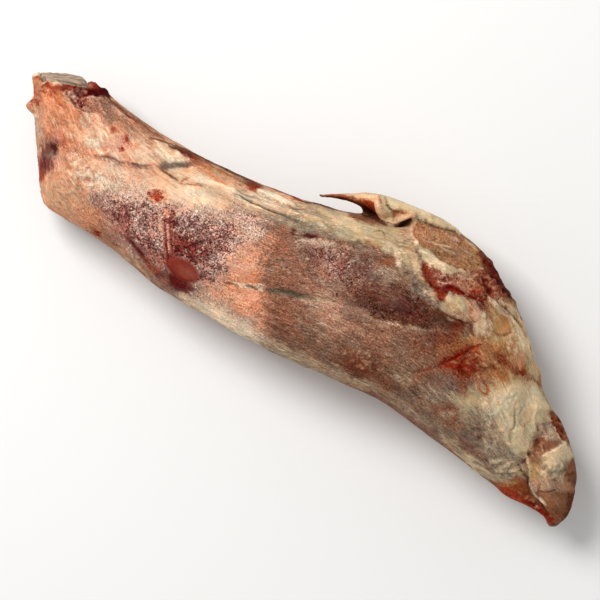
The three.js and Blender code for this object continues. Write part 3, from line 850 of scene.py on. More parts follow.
# The fat and the torn flesh of the upper thick end, with painted shade in its gaps, recesses and creases and
# painted highlights on its fat
SHOULDER_MARKINGS: tuple[Marking | Tuft, ...] = (
    Area(
        T.GREY_FAT, 1, ((314, 208), (350, 212), (410, 224), (420, 246), (408, 262), (384, 246), (344, 236)),
        edge=(4, 4), rise=0.3,
    ),
    Stroke(
        T.GREY_FAT, 0.9, ((404, 250), (416, 266), (428, 284), (442, 302), (456, 318)), 11,
        edge=(3, 4), rise=0.4,
    ),
    Tuft(T.PALE_FAT, 0.6, (420, 272), (24, 7), 55, 18, 10, 2.2, 50, 30, rise=0.3),
    Patch(T.PALE_FAT, 0.85, (346, 224), (22, 8), 22),
    Stroke(T.CREASE_SHADE, 0.8, ((316, 213), (324, 215), (332, 219.5)), 1.8, edge=(0.9, 0.8), rise=-0.6),
    Stroke(T.CREASE_SHADE, 0.5, ((344, 228), (352, 231.5), (358, 235)), 1.6, edge=(0.9, 0.8), rise=-0.5),
    Stroke(
        T.BROWN, 0.7, ((374, 231.5), (381, 230.6), (384, 234), (383.5, 239)), 1.8,
        edge=(0.9, 0.5), rise=-0.4,
    ),
    Patch(T.SILVER, 0.7, (407, 243), (9, 10), 0, edge=(4, 3)),
    Patch(T.PALE_FAT, 0.7, (391, 250), (9, 4), 30, edge=(3, 3)),
    Patch(T.GREY_FAT, 0.6, (328, 217), (12, 5), 20, edge=(4, 3)),
    Patch(T.GREY_FAT, 0.8, (344, 234), (14, 4), 22, edge=(3, 3)),
    Patch(T.BEIGE, 0.5, (406, 231), (7, 6), 0, edge=(3, 2)),
    Patch(T.BEIGE, 0.35, (408, 247), (9, 8), 0, edge=(4, 3)),
    Tuft(T.IVORY_AND_HIGHLIGHT, 0.7, (404, 258), (10, 8), 40, 12, 7, 2.2, 20, 50, rise=0.4),
    Area(
        T.GORE, 0.7, ((346, 213), (366, 216), (386, 222), (386, 227), (366, 224), (350, 219)),
        edge=(2, 1.5),
    ),
    Stroke(
        T.DARK_RED, 0.95, ((314, 203.5), (334, 207.5), (352, 211), (370, 217), (386, 221)), 3,
        edge=(1.2, 0.8),
    ),
    Stroke(T.SALMON, 0.8, ((336, 210), (350, 213), (362, 216)), 2.4, edge=(1.2, 0.8)),
    # Painted shadow under the fold of fat
    Stroke(T.CREASE_SHADE, 0.9, ((376, 220), (390, 224.5), (410, 225.5)), 3.5, edge=(1.5, 1), rise=-0.6),
    Area(T.RUST, 0.9, ((312, 190), (352, 190), (380, 188), (384, 216), (352, 206)), edge=(2, 2)),
    Patch(T.RED, 0.6, (370, 205), (9, 4), 35, edge=(3, 3)),
    # Painted shadow in the gap under the tongue of fat, and along the notch's lower edge in clot colour
    Area(
        T.CREASE_SHADE, 1, ((358, 207), (366, 208), (376, 213), (387, 221), (378, 220), (366, 214)),
        edge=(1.2, 0.8),
    ),
    Stroke(
        T.CLOT, 0.9, ((318, 198), (340, 198.5), (362, 205.5), (372, 212), (384, 219)), 2.5,
        edge=(1.2, 0.8),
    ),
    Area(T.ROSY_FAT, 0.95, ((335, 191), (384, 188), (384, 199), (370, 201), (350, 197.5)), edge=(2, 3)),
    Stroke(T.PALE_FAT, 0.8, ((350, 195), (366, 195.5), (380, 196)), 3, edge=(1.5, 3), rise=0.3),
    Area(T.FAT, 1, ((378, 190), (400, 188), (462, 226), (460, 236), (420, 222), (386, 222)), edge=(2, 2)),
    Stroke(T.PALE_FAT, 0.9, ((386, 195), (396, 202), (414, 207.5), (430, 216)), 9, edge=(3, 2), rise=0.7),
    # Painted shade in the recess between the rosy strand and the roll of fat, and in the brown crease beside
    # it
    Area(
        T.RUST, 0.9, ((387, 205), (392, 211), (402, 209.5), (410, 213), (402, 216), (394, 219)),
        edge=(1.5, 1), rise=-1.2,
    ),
    Tuft(T.BROWN, 0.7, (400, 212.5), (8, 2.2), 8, 8, 3.5, 1.6, 80, 25),
    Stroke(T.BROWN, 0.8, ((385, 198), (387, 204), (391, 210), (394, 212)), 2.2, edge=(1, 0.8), rise=-0.6),
    # Painted shade in the recess under the rosy strand
    Area(
        T.CREASE_SHADE, 1, ((394, 224), (402, 219.5), (411, 217.5), (412, 222), (408, 226), (396, 227)),
        edge=(1.2, 0.8), rise=-1.2,
    ),
    Stroke(
        T.ROSY_FAT, 1,
        (
            (377, 199), (379, 207), (383, 214), (388, 220.5), (394, 222.5), (400, 219), (406, 216.5),
            (413, 215.5),
        ),
        6.5, 0.3,
        edge=(1.2, 0.6), rise=1.5,
    ),
    # Painted highlight along the rosy strand
    Stroke(T.IVORY_AND_HIGHLIGHT, 0.5, ((378, 202), (382, 210), (386, 217), (391, 221)), 2, edge=(1, 0.6)),
    Stroke(T.CREASE_SHADE, 0.9, ((425, 219), (427.5, 221), (428, 224)), 2, edge=(1, 0.5), rise=-0.6),
    Stroke(
        T.PALE_FAT, 0.9, ((429, 220.5), (440, 222), (448, 225.5), (458, 231)), 6,
        edge=(1.5, 1.2), rise=0.5,
    ),
    Area(
        T.CUT, 1,
        (
            (417, 221), (432, 226), (454, 232), (468, 240), (479, 250), (485, 261), (483, 268), (466, 270),
            (453, 265), (438, 258), (430, 250), (418, 243), (412, 234),
        ),
        edge=(1.5, 1.5),
    ),
    Patch(T.SALMON, 0.3, (424, 233), (11, 7), 40, edge=(4, 3)),
    Patch(T.TAUPE, 0.55, (458, 250), (14, 8), 35, edge=(5, 4)),
    Tuft(T.BUFF, 0.35, (452, 246), (26, 10), 35, 22, 6, 1.8, 25, 60),
    Tuft(T.BROWN, 0.55, (454, 249), (24, 10), 35, 26, 4, 1.8, 40, 70),
    Stroke(T.CREAM, 0.8, ((433, 244.5), (444, 245.6), (451, 246.4)), 1.8, edge=(0.9, 0.8)),
    Patch(T.PINK, 0.8, (455, 239), (4, 1.8), 15, edge=(1.2, 1)),
    Stroke(T.CREAM, 0.7, ((466, 240), (472, 245), (478, 251)), 2, edge=(1, 0.8)),
    Stroke(
        T.ROSY_FAT, 0.9, ((416.5, 221.5), (411.5, 229), (413, 236), (417.5, 242)), 4,
        edge=(1.4, 0.8), rise=0.5,
    ),
    Stroke(T.RUST, 0.8, ((414.5, 229), (414, 234), (416.5, 239)), 1.6, edge=(0.9, 0.5), rise=-0.3),
    Patch(T.IVORY_AND_HIGHLIGHT, 0.9, (416, 243), (2, 1.8), 0, edge=(1, 0.5), rise=0.4),
    Stroke(
        T.CLOT, 0.9, ((417, 219.6), (426, 223), (436, 226.8), (454, 231.5), (458, 233)), 2.2,
        edge=(1, 0.8), rise=-0.6,
    ),
    Area(
        T.FAT, 0.9,
        (
            (419, 247), (429, 250), (440, 261), (452, 268), (462, 274), (450, 274), (434, 268), (422, 260),
        ),
        edge=(2, 2), rise=0.5,
    ),
    Tuft(T.IVORY_AND_HIGHLIGHT, 0.6, (434, 262), (18, 4), 38, 14, 9, 2, 38, 14, rise=0.2),
    # The torn red flesh over the joint
    Area(
        T.FLESH, 0.95,
        (
            (423, 264), (434, 268), (452, 276), (474, 272), (488, 266), (510, 296), (492, 302), (470, 297),
            (446, 296), (430, 288),
        ),
        edge=(2.5, 3),
    ),
    Stroke(T.GORE, 0.85, ((426, 264), (428, 274), (432, 283), (441, 290)), 9, edge=(2, 3)),
    Area(
        T.GORE, 0.7, ((474, 272), (488, 266), (498, 276), (504, 292), (492, 300), (480, 300), (476, 288)),
        edge=(3, 3),
    ),
    Tuft(T.PINK, 0.55, (446, 280), (17, 6), 25, 30, 3.4, 1.7, 40, 70, rise=0.3),
    Tuft(T.OXBLOOD, 0.7, (434, 277), (5, 11), -25, 18, 4, 1.7, 60, 60, rise=0.2),
    Tuft(T.BURGUNDY, 0.6, (450, 281), (20, 6), 25, 26, 4, 2, 40, 60, rise=-0.2),
    Tuft(T.ROSY_FAT, 0.65, (468, 277), (12, 5), 30, 14, 6, 2, 30, 50, rise=0.3),
    Tuft(T.BUFF, 0.5, (478, 288), (10, 6), 35, 12, 5, 2, 40, 50, rise=0.2),
    Stroke(
        T.DARK_RED, 0.9, ((423.5, 264), (424, 274), (428, 283), (434, 289), (445, 291)), 5, 0.3,
        edge=(1.6, 3.2), rise=-0.3,
    ),
    Tuft(T.RED, 0.8, (427, 276), (4, 12), -20, 14, 4, 1.8, 60, 60, rise=0.2),
    Stroke(T.DARK_RED, 1, ((444, 287), (450, 287.5), (457, 290), (464, 292.5)), 7, 0.4, edge=(1.5, 1.5)),
    Stroke(T.RED, 0.7, ((447, 290), (456, 293), (466, 297)), 4, edge=(1.6, 2)),
    Patch(T.GORE, 1, (442, 295), (6.4, 5), 10, edge=(1.6, 2)),
    Stroke(
        T.RED, 1, ((438, 292), (440, 298), (445, 299), (447.6, 295), (445, 291.6)), 2, 0.2,
        edge=(1, 0.8), rise=0.3,
    ),
    Area(
        T.RED, 0.95, ((463, 290), (474, 288), (481, 293), (484, 300), (474, 301), (466, 297)),
        edge=(1.8, 2.5),
    ),
    Stroke(T.DARK_RED, 1, ((464, 293), (472, 298), (482, 301)), 2.2, edge=(1, 0.8), rise=-0.3),
    Tuft(T.DARK_RED, 0.8, (472, 291), (12, 6), 25, 18, 5, 1.7, 15, 40, rise=-0.2),
    Tuft(T.BUFF, 0.5, (474, 293), (10, 5), 20, 14, 5, 1.7, 15, 40, rise=0.2),
    Patch(T.DARK_RED, 1, (486.5, 279.5), (5, 4.6), 60, edge=(1.5, 1.5), rise=-0.8),
    Stroke(T.ROSY_FAT, 0.95, ((481, 279), (481.6, 282), (484.4, 284.8)), 2, edge=(1, 0.5), rise=0.4),
    Patch(T.DARK_RED, 1, (489.6, 291), (3.2, 3.4), 30, edge=(1.4, 1), rise=-0.5),
    Stroke(T.BROWN, 0.9, ((482, 254), (489, 264), (498, 275), (504, 286), (512, 298)), 11, 0.2, edge=(2, 2)),
    Stroke(T.DARK_RED, 0.8, ((485, 259), (493, 271), (501, 284), (509, 297)), 6, 0.2, edge=(1.6, 3)),
    Tuft(T.CLOT, 1, (498, 278), (26, 5), 57, 40, 4, 2.6, 50, 60, rise=-0.5),
    Tuft(T.BUFF, 0.55, (492, 282), (22, 4), 57, 20, 3.4, 1.8, 50, 60, rise=0.3),
    Tuft(T.OXBLOOD, 0.7, (496, 278), (24, 5), 57, 20, 4, 2.2, 50, 60, rise=0.3),
    # The lobes of fat beside it
    Stroke(T.GREY, 0.85, ((407, 266), (416, 281), (427, 295), (439, 306)), 9, 0.3, edge=(3, 3)),
    Tuft(T.CREASE_SHADE, 0.6, (420, 286), (20, 5), 55, 32, 4, 1.8, 50, 50, rise=-0.2),
    Patch(T.BROWN, 0.5, (439, 300), (6, 5), 30, edge=(3, 2)),
    Tuft(T.ROSY_FAT, 0.6, (429, 294), (7, 4), 50, 8, 5, 2, 40, 50, rise=0.4),
    Patch(T.FAT, 0, (455, 307), (17, 11), 36, edge=(7, 3), rise=1),
    Area(
        T.GREY_FAT, 0.95,
        (
            (441, 304), (448, 299), (455, 295), (464, 296), (469, 304), (468, 311), (470, 317), (465, 322),
            (455, 317), (446, 311),
        ),
        edge=(2.2, 2),
    ),
    Tuft(T.PALE_FAT, 0.6, (455, 304), (12, 7), 36, 16, 9, 2, 80, 25, rise=0.2),
    Tuft(T.OLIVE, 0.5, (457, 308), (12, 7), 36, 12, 8, 1.7, 80, 25, rise=-0.2),
    Patch(T.BEIGE, 0.75, (457, 314), (12, 4.6), 25, edge=(3, 2)),
    Area(
        T.BUFF, 0.9, ((467, 300), (474, 302), (480, 312), (478, 321), (471, 320), (468, 311)),
        edge=(1.8, 1.5), rise=0.3,
    ),
    Tuft(T.GORE, 0.5, (473, 306), (4, 7), 0, 8, 7, 1.7, 75, 25),
    Patch(T.ROSY_FAT, 0.8, (475, 316), (3.4, 4), 20, edge=(1.6, 1), rise=0.3),
    # Painted highlight on the top of the lobe
    Patch(T.PALE_FAT, 0.85, (483, 315), (3, 3.6), 30, edge=(1.6, 1), rise=0.3),
    Patch(T.FAT, 0, (483, 328), (9, 9), 60, edge=(6, 3), rise=0.9),
    Area(
        T.ROSY_FAT, 1, ((474, 323), (480, 318), (488, 319), (492, 327), (491, 335), (483, 338), (474, 336)),
        edge=(1.8, 1.6),
    ),
    Tuft(T.IVORY_AND_HIGHLIGHT, 0.6, (483, 328), (8, 8), 60, 10, 9, 1.9, 72, 20, rise=0.2),
    Tuft(T.BUFF, 0.7, (482, 330), (8, 8), 60, 8, 9, 1.7, 72, 20, rise=-0.2),
    Tuft(T.GORE, 0.8, (485, 308), (11, 4), 52, 14, 7, 1.9, 50, 20),
    # Painted shade in the gap under the lobes of fat
    Stroke(
        T.BROWN, 0.95, ((436, 308.5), (446, 314), (458, 320), (471, 325.5)), 2.6,
        edge=(1.2, 0.8), rise=-0.6,
    ),
    Stroke(T.GORE, 0.8, ((470, 326), (472, 334), (480, 339), (490, 338)), 2.2, edge=(1.2, 0.8), rise=-0.4),
)
# The tissue between the shoulder and the elbow; its ivory tufts are painted highlights on raised strands
JOINT_MARKINGS: tuple[Marking | Tuft, ...] = (
    Area(
        T.OLIVE, 0.9,
        (
            (489, 306), (514, 302), (540, 360), (545, 388), (500, 388), (470, 372), (440, 350), (464, 336),
            (488, 338),
        ),
    ),
    Tuft(T.PALE_FAT, 0.7, (518, 346), (16, 9), 60, 26, 12, 2, 58, 25, rise=0.25),
    Tuft(T.RUST, 0.5, (512, 354), (18, 10), 50, 22, 10, 1.8, 50, 30),
    Area(T.RUST, 0.65, ((436, 344), (476, 338), (500, 346), (516, 366), (500, 382), (470, 378), (440, 366))),
    Area(
        T.GORE, 0.85, ((438, 364), (450, 354), (466, 346), (482, 350), (480, 364), (468, 376), (454, 376)),
        edge=(5, 5),
    ),
    Tuft(T.BUFF, 0.45, (476, 364), (26, 12), 20, 24, 10, 1.8, 25, 40, rise=0.2),
    Tuft(T.DARK_RED, 0.5, (470, 362), (28, 11), 10, 26, 10, 2, 10, 35),
    Area(
        T.AMBER, 1, ((493, 318), (499, 315), (507, 317), (511, 325), (509, 332), (501, 334), (494, 330)),
        edge=(2, 1.2), rise=0.5,
    ),
    Stroke(
        T.RUST, 0.7, ((493, 331), (501, 335.5), (509, 333.5), (512.5, 326)), 2,
        edge=(1.1, 0.6), rise=-0.4,
    ),
    Tuft(T.IVORY_AND_HIGHLIGHT, 0.6, (502, 308), (16, 3.4), 42, 14, 11, 1.7, 42, 8, rise=0.3),
    Tuft(T.BROWN, 0.8, (503, 309), (16, 3.4), 42, 10, 11, 1.7, 42, 8, rise=-0.3),
    Stroke(T.PALE_FAT, 0.9, ((489, 301), (504, 313), (514, 322), (523, 338)), 3, edge=(1.4, 0.8), rise=0.4),
    Stroke(T.BROWN, 0.7, ((492, 299), (508, 311), (519, 323), (527, 342)), 1.6, edge=(0.9, 0.8), rise=-0.3),
    Stroke(T.PALE_FAT, 0.8, ((500, 300), (514, 311), (524, 326), (531, 346)), 3.4, edge=(1.6, 3), rise=0.4),
    Tuft(T.IVORY_AND_HIGHLIGHT, 0.5, (520, 338), (22, 5), 62, 18, 14, 2, 62, 10, rise=0.2),
    Patch(T.PALE_FAT, 0.5, (527, 348), (6, 18), -20),
    Stroke(T.BROWN, 0.5, ((526, 326), (533, 346), (538, 362), (541, 380)), 3, edge=(1.5, 1.5)),
    Patch(T.PALE_FAT, 0.45, (535, 372), (6, 9), 0, edge=(3, 3)),
    Stroke(
        T.RED, 0.9, ((414, 373), (434, 368), (452, 358), (468, 349), (480, 345)), 4, 0.6,
        edge=(1.6, 1.5), rise=-0.3,
    ),
    Stroke(T.DARK_RED, 1, ((430, 370), (448, 361), (464, 352), (474, 347)), 3, edge=(1.2, 1)),
    Stroke(T.RED, 0.85, ((444, 366), (456, 366), (468, 367), (481, 370)), 5, edge=(2, 2.5)),
    Stroke(T.DARK_RED, 0.9, ((458, 362), (462, 370), (466, 376)), 5, edge=(1.6, 1.5)),
    Stroke(T.GORE, 0.8, ((418, 372), (419, 379), (416, 386)), 6, edge=(2, 2)),
    Patch(T.GORE, 0.9, (502, 358), (8, 6), 20, edge=(3, 3)),
    Stroke(T.GORE, 0.5, ((506, 361), (518, 370), (528, 376), (540, 382)), 7, edge=(2.5, 2.5)),
    Patch(T.GORE, 0.6, (519, 372), (7, 5), 40, edge=(3, 3)),
    Patch(T.RED, 0.8, (522, 372), (3, 4), 30, edge=(2, 2)),
    Stroke(T.RED, 0.7, ((520, 380), (532, 381), (543, 386)), 4, edge=(2, 2)),
    Area(T.TAUPE, 0.4, ((392, 350), (440, 356), (450, 384), (420, 392), (380, 372)), edge=(10, 5)),
    Patch(T.GORE, 0.45, (448, 340), (18, 8), 15, edge=(6, 5)),
    Patch(T.BROWN, 0.4, (420, 347), (14, 7), 30, edge=(5, 5)),
    Area(T.VEIN, 0.6, ((424, 374), (442, 372), (458, 378), (464, 390), (446, 396), (428, 388))),
    Patch(T.GORE, 0.5, (462, 378), (12, 6), 20, edge=(5, 4)),
    Area(T.GREY, 0.5, ((400, 384), (444, 388), (466, 406), (474, 440), (440, 440), (400, 408)), edge=(9, 5)),
    Tuft(T.SILVER, 0.25, (430, 396), (34, 14), 38, 36, 15, 1.8, 38, 14),
    Tuft(T.BROWN, 0.35, (424, 408), (40, 10), 40, 30, 12, 1.8, 40, 12),
    Stroke(T.GORE, 0.6, ((434, 404), (448, 408), (460, 411), (452, 421)), 6, edge=(2.5, 3)),
    Stroke(T.BROWN, 0.22, ((352, 370), (376, 383), (424, 409), (452, 430)), 13, edge=(5, 4)),
    Patch(T.BROWN, 0.3, (424, 376), (11, 8), 20, edge=(5, 4)),
)
# Washes that make places lighter, darker or of another tone, some of them painted light and shade, and
# strands, over all that lies under them, from the knuckle to the joint
WASH_MARKINGS: tuple[Marking | Tuft, ...] = (
    Tuft(T.FROST, 0.5, (338, 262), (50, 17), 22, 90, 5, 1.7, 40, 60, rise=0.25),
    Tuft(T.BRUISE, 0.6, (336, 258), (46, 16), 22, 70, 4, 1.8, 60, 70, rise=-0.25),
    Tuft(T.VEIN, 0.6, (396, 294), (40, 12), 24, 56, 8, 1.7, 24, 35, rise=0.25),
    Tuft(T.CLOT, 0.6, (398, 300), (38, 11), 24, 40, 8, 1.8, 24, 25, rise=-0.25),
    Stroke(T.SILVER, 0.35, ((304, 297), (318, 300), (336, 304)), 5, edge=(2, 2)),
    Patch(T.BROWN, 0.3, (304, 313), (16, 8), 25, edge=(5, 4)),
    Patch(T.VEIN, 0.4, (346, 314), (10, 6), 25),
    Patch(T.TAUPE, 0.45, (120, 119), (9, 7), 40),
    Patch(T.IVORY_AND_HIGHLIGHT, 0.35, (112, 168), (18, 7), 12, edge=(5, 4)),
    Patch(T.BROWN, 0.45, (359, 368), (12, 12), 30, edge=(5, 4)),
    Patch(T.SCARLET, 0.7, (154, 194), (6.5, 6), 0, edge=(2, 3.5)),
    Patch(T.RED, 0.22, (168, 217), (10, 7), 30),
    Patch(T.SALMON, 0.25, (151, 263), (9, 8), 40),
    Patch(T.PURPLE, 0.3, (232, 231), (9, 8), 30),
    Patch(T.IVORY_AND_HIGHLIGHT, 0.4, (264, 200), (10, 6), 25),
    Patch(T.RUSSET, 0.3, (88, 200), (9, 8), 30),
    Patch(T.GORE, 0.5, (457, 328), (9, 6), 30),
    Patch(T.TAN, 0.4, (152, 137), (9, 5), 30),
    Tuft(T.GREY, 0.5, (318, 225), (34, 9), 20, 30, 13, 1.8, 22, 10),
    Tuft(T.SEAM, 0.5, (326, 230), (36, 9), 20, 34, 12, 1.6, 22, 12, rise=-0.25),
    Patch(T.GREY_FAT, 0.4, (357, 231), (11, 5), 15),
    Patch(T.GREY_FAT, 0.45, (407, 259), (9, 6), 40),
    Tuft(T.SEAM, 0.45, (402, 254), (14, 8), 50, 18, 6, 1.6, 50, 40, rise=-0.25),
    Patch(T.GREY_FAT, 0.4, (440, 222), (9, 4), 25, edge=(3, 3)),
    Patch(T.BUFF, 0.3, (438, 235), (12, 5), 25),
    Stroke(T.ROSY_FAT, 0.6, ((424, 241), (436, 244), (446, 250), (456, 254)), 1.6),
    Stroke(T.ROSY_FAT, 0.45, ((436, 244), (440, 238), (448, 235)), 1.5),
    Stroke(T.BROWN, 0.5, ((430, 252), (444, 256), (460, 256)), 1.5, rise=-0.2),
    Patch(T.DARK_RED, 0.4, (471, 361), (10, 7), 30, edge=(3, 4)),
    Patch(T.GORE, 0.35, (456, 344), (9, 6), 20),
    Patch(T.IVORY_AND_HIGHLIGHT, 0.35, (216, 312), (10, 7), 30),
    Patch(T.RUSSET, 0.35, (104, 216), (10, 7), 40),
    Patch(T.BROWN, 0.25, (281, 312), (10, 7), 30),
    Patch(T.SILVER, 0.4, (328, 296), (10, 6), 20),
    Patch(T.TAN, 0.35, (392, 296), (10, 7), 25),
    Patch(T.RUSSET, 0.22, (88, 121), (9, 7), 40),
    # Painted shade on the fat beside the cut
    Patch(T.OLIVE, 0.4, (408, 248), (9, 8), 40),
    Patch(T.BROWN, 0.4, (423, 281), (5, 8), 20, edge=(3, 4)),
    Patch(T.SCARLET, 0.22, (152, 264), (10, 8), 40),
    Patch(T.RUST, 0.3, (440, 408), (10, 7), 40),
    Stroke(T.SILVER, 0.4, ((366, 385), (390, 395), (410, 409), (430, 424)), 9, edge=(4, 4)),
    Stroke(T.SCARLET, 0.6, ((31, 79), (33, 87), (36, 96)), 5, edge=(2, 2)),
    Stroke(T.RED, 0.5, ((37, 158), (40, 170), (45, 180)), 4, edge=(2, 2)),
    Patch(T.RUSSET, 0.3, (56, 169), (9, 7), 30),
    Patch(T.ORANGE, 0.3, (88, 152), (9, 7), 20),
    Patch(T.RUST, 0.4, (488, 312), (7, 6), 50, edge=(3, 4)),
    Patch(T.VEIN, 0.3, (360, 312), (10, 7), 25),
    Patch(T.LILAC, 0.35, (184, 232), (10, 8), 30),
    Patch(T.RUST, 0.3, (120, 232), (10, 8), 30),
    Patch(T.DARK_RED, 0.9, (485, 285), (4.5, 4), 0, edge=(2, 2.5)),
    Patch(T.DARK_RED, 0.8, (446, 291), (6, 2.6), 20, edge=(1.6, 2)),
    Patch(T.SCARLET, 0.6, (474, 291), (7, 3), 10, edge=(2, 3)),
    Patch(T.SALMON, 0.3, (461, 285), (8, 4), 20, edge=(3, 3)),
    Patch(T.SALMON, 0.5, (470, 303), (5, 4), 40, edge=(3, 3)),
    Patch(T.PINK, 0.6, (241, 267), (9, 8), 40),
    Patch(T.PINK, 0.55, (249, 296), (9, 7), 30),
    Patch(T.PINK, 0.35, (246, 248), (10, 7), 30),
    Patch(T.RUSSET, 0.3, (258, 263), (4, 9), 10, edge=(3, 3)),
    Patch(T.PINK, 0.45, (59, 160), (8, 8), 40),
    Patch(T.PINK, 0.35, (57, 136), (7, 8), 20),
    Patch(T.IVORY_AND_HIGHLIGHT, 0.35, (104, 184), (11, 7), 20),
    Patch(T.BUFF, 0.45, (520, 359), (8, 8), 30),
    Patch(T.TAN, 0.35, (440, 328), (10, 7), 30),
    Patch(T.BEIGE, 0.35, (328, 344), (11, 8), 30),
    Patch(T.BEIGE, 0.4, (164, 281), (6, 5), 30),
    Patch(T.RUST, 0.3, (456, 424), (10, 8), 30),
    Patch(T.BURGUNDY, 0.22, (87, 104), (9, 6), 30),
    Patch(T.MAUVE, 0.35, (105, 104), (10, 7), 35),
    Patch(T.RUST, 0.35, (57, 90), (11, 6), 20),
    Patch(T.RUSSET, 0.4, (201, 169), (10, 6), 25),
    Stroke(T.VEIN, 0.85, ((182, 165), (198, 163), (214, 162)), 4.4, 0.2, edge=(1.6, 2), rise=-0.2),
    Patch(T.RUST, 0.4, (503, 313), (8, 6), 60),
    Patch(T.LILAC, 0.35, (328, 264), (9, 7), 20),
    Patch(T.LILAC, 0.4, (200, 232), (9, 8), 30),
    Patch(T.RUST, 0.25, (264, 312), (10, 8), 35),
    Patch(T.SHADED_DIP, 0.3, (360, 264), (10, 8), 25),
    Patch(T.BROWN, 0.2, (424, 392), (11, 8), 30),
    Patch(T.IVORY_AND_HIGHLIGHT, 0.3, (154, 184), (11, 7), 20, edge=(5, 4)),
    Patch(T.IVORY_AND_HIGHLIGHT, 0.4, (281, 201), (12, 6), 30),
    Patch(T.IVORY_AND_HIGHLIGHT, 0.3, (248, 328), (11, 7), 35, edge=(5, 4)),
    Patch(T.LILAC, 0.35, (216, 249), (10, 8), 30, edge=(5, 4)),
    Patch(T.ORANGE, 0.35, (520, 360), (9, 8), 30, edge=(5, 4)),
    Patch(T.BROWN, 0.55, (361, 362), (18, 10), 25, edge=(5, 4)),
    Tuft(T.BUFF, 0.45, (364, 360), (22, 9), 25, 44, 4, 1.8, 30, 70, rise=0.2),
    Tuft(T.OXBLOOD, 0.45, (360, 364), (20, 8), 25, 30, 5, 2, 30, 60),
    Tuft(T.SILVER, 0.6, (402, 379), (12, 4), 20, 14, 6, 1.9, 20, 40, rise=0.2),
    Patch(T.BROWN, 0.3, (360, 264), (13, 9), 20, edge=(5, 4)),
    Patch(T.RUSSET, 0.5, (296, 280), (11, 9), 20, edge=(5, 4)),
    Patch(T.OXBLOOD, 0.3, (120, 232), (10, 9), 40, edge=(5, 4)),
    Patch(T.BEIGE, 0.4, (136, 136), (10, 7), 30, edge=(5, 4)),
    Patch(T.ORANGE, 0.6, (200, 168), (11, 7), 30, edge=(5, 4)),
    Stroke(T.RUSSET, 0.35, ((102, 194), (104, 206), (108, 222)), 16, edge=(5, 4)),
)
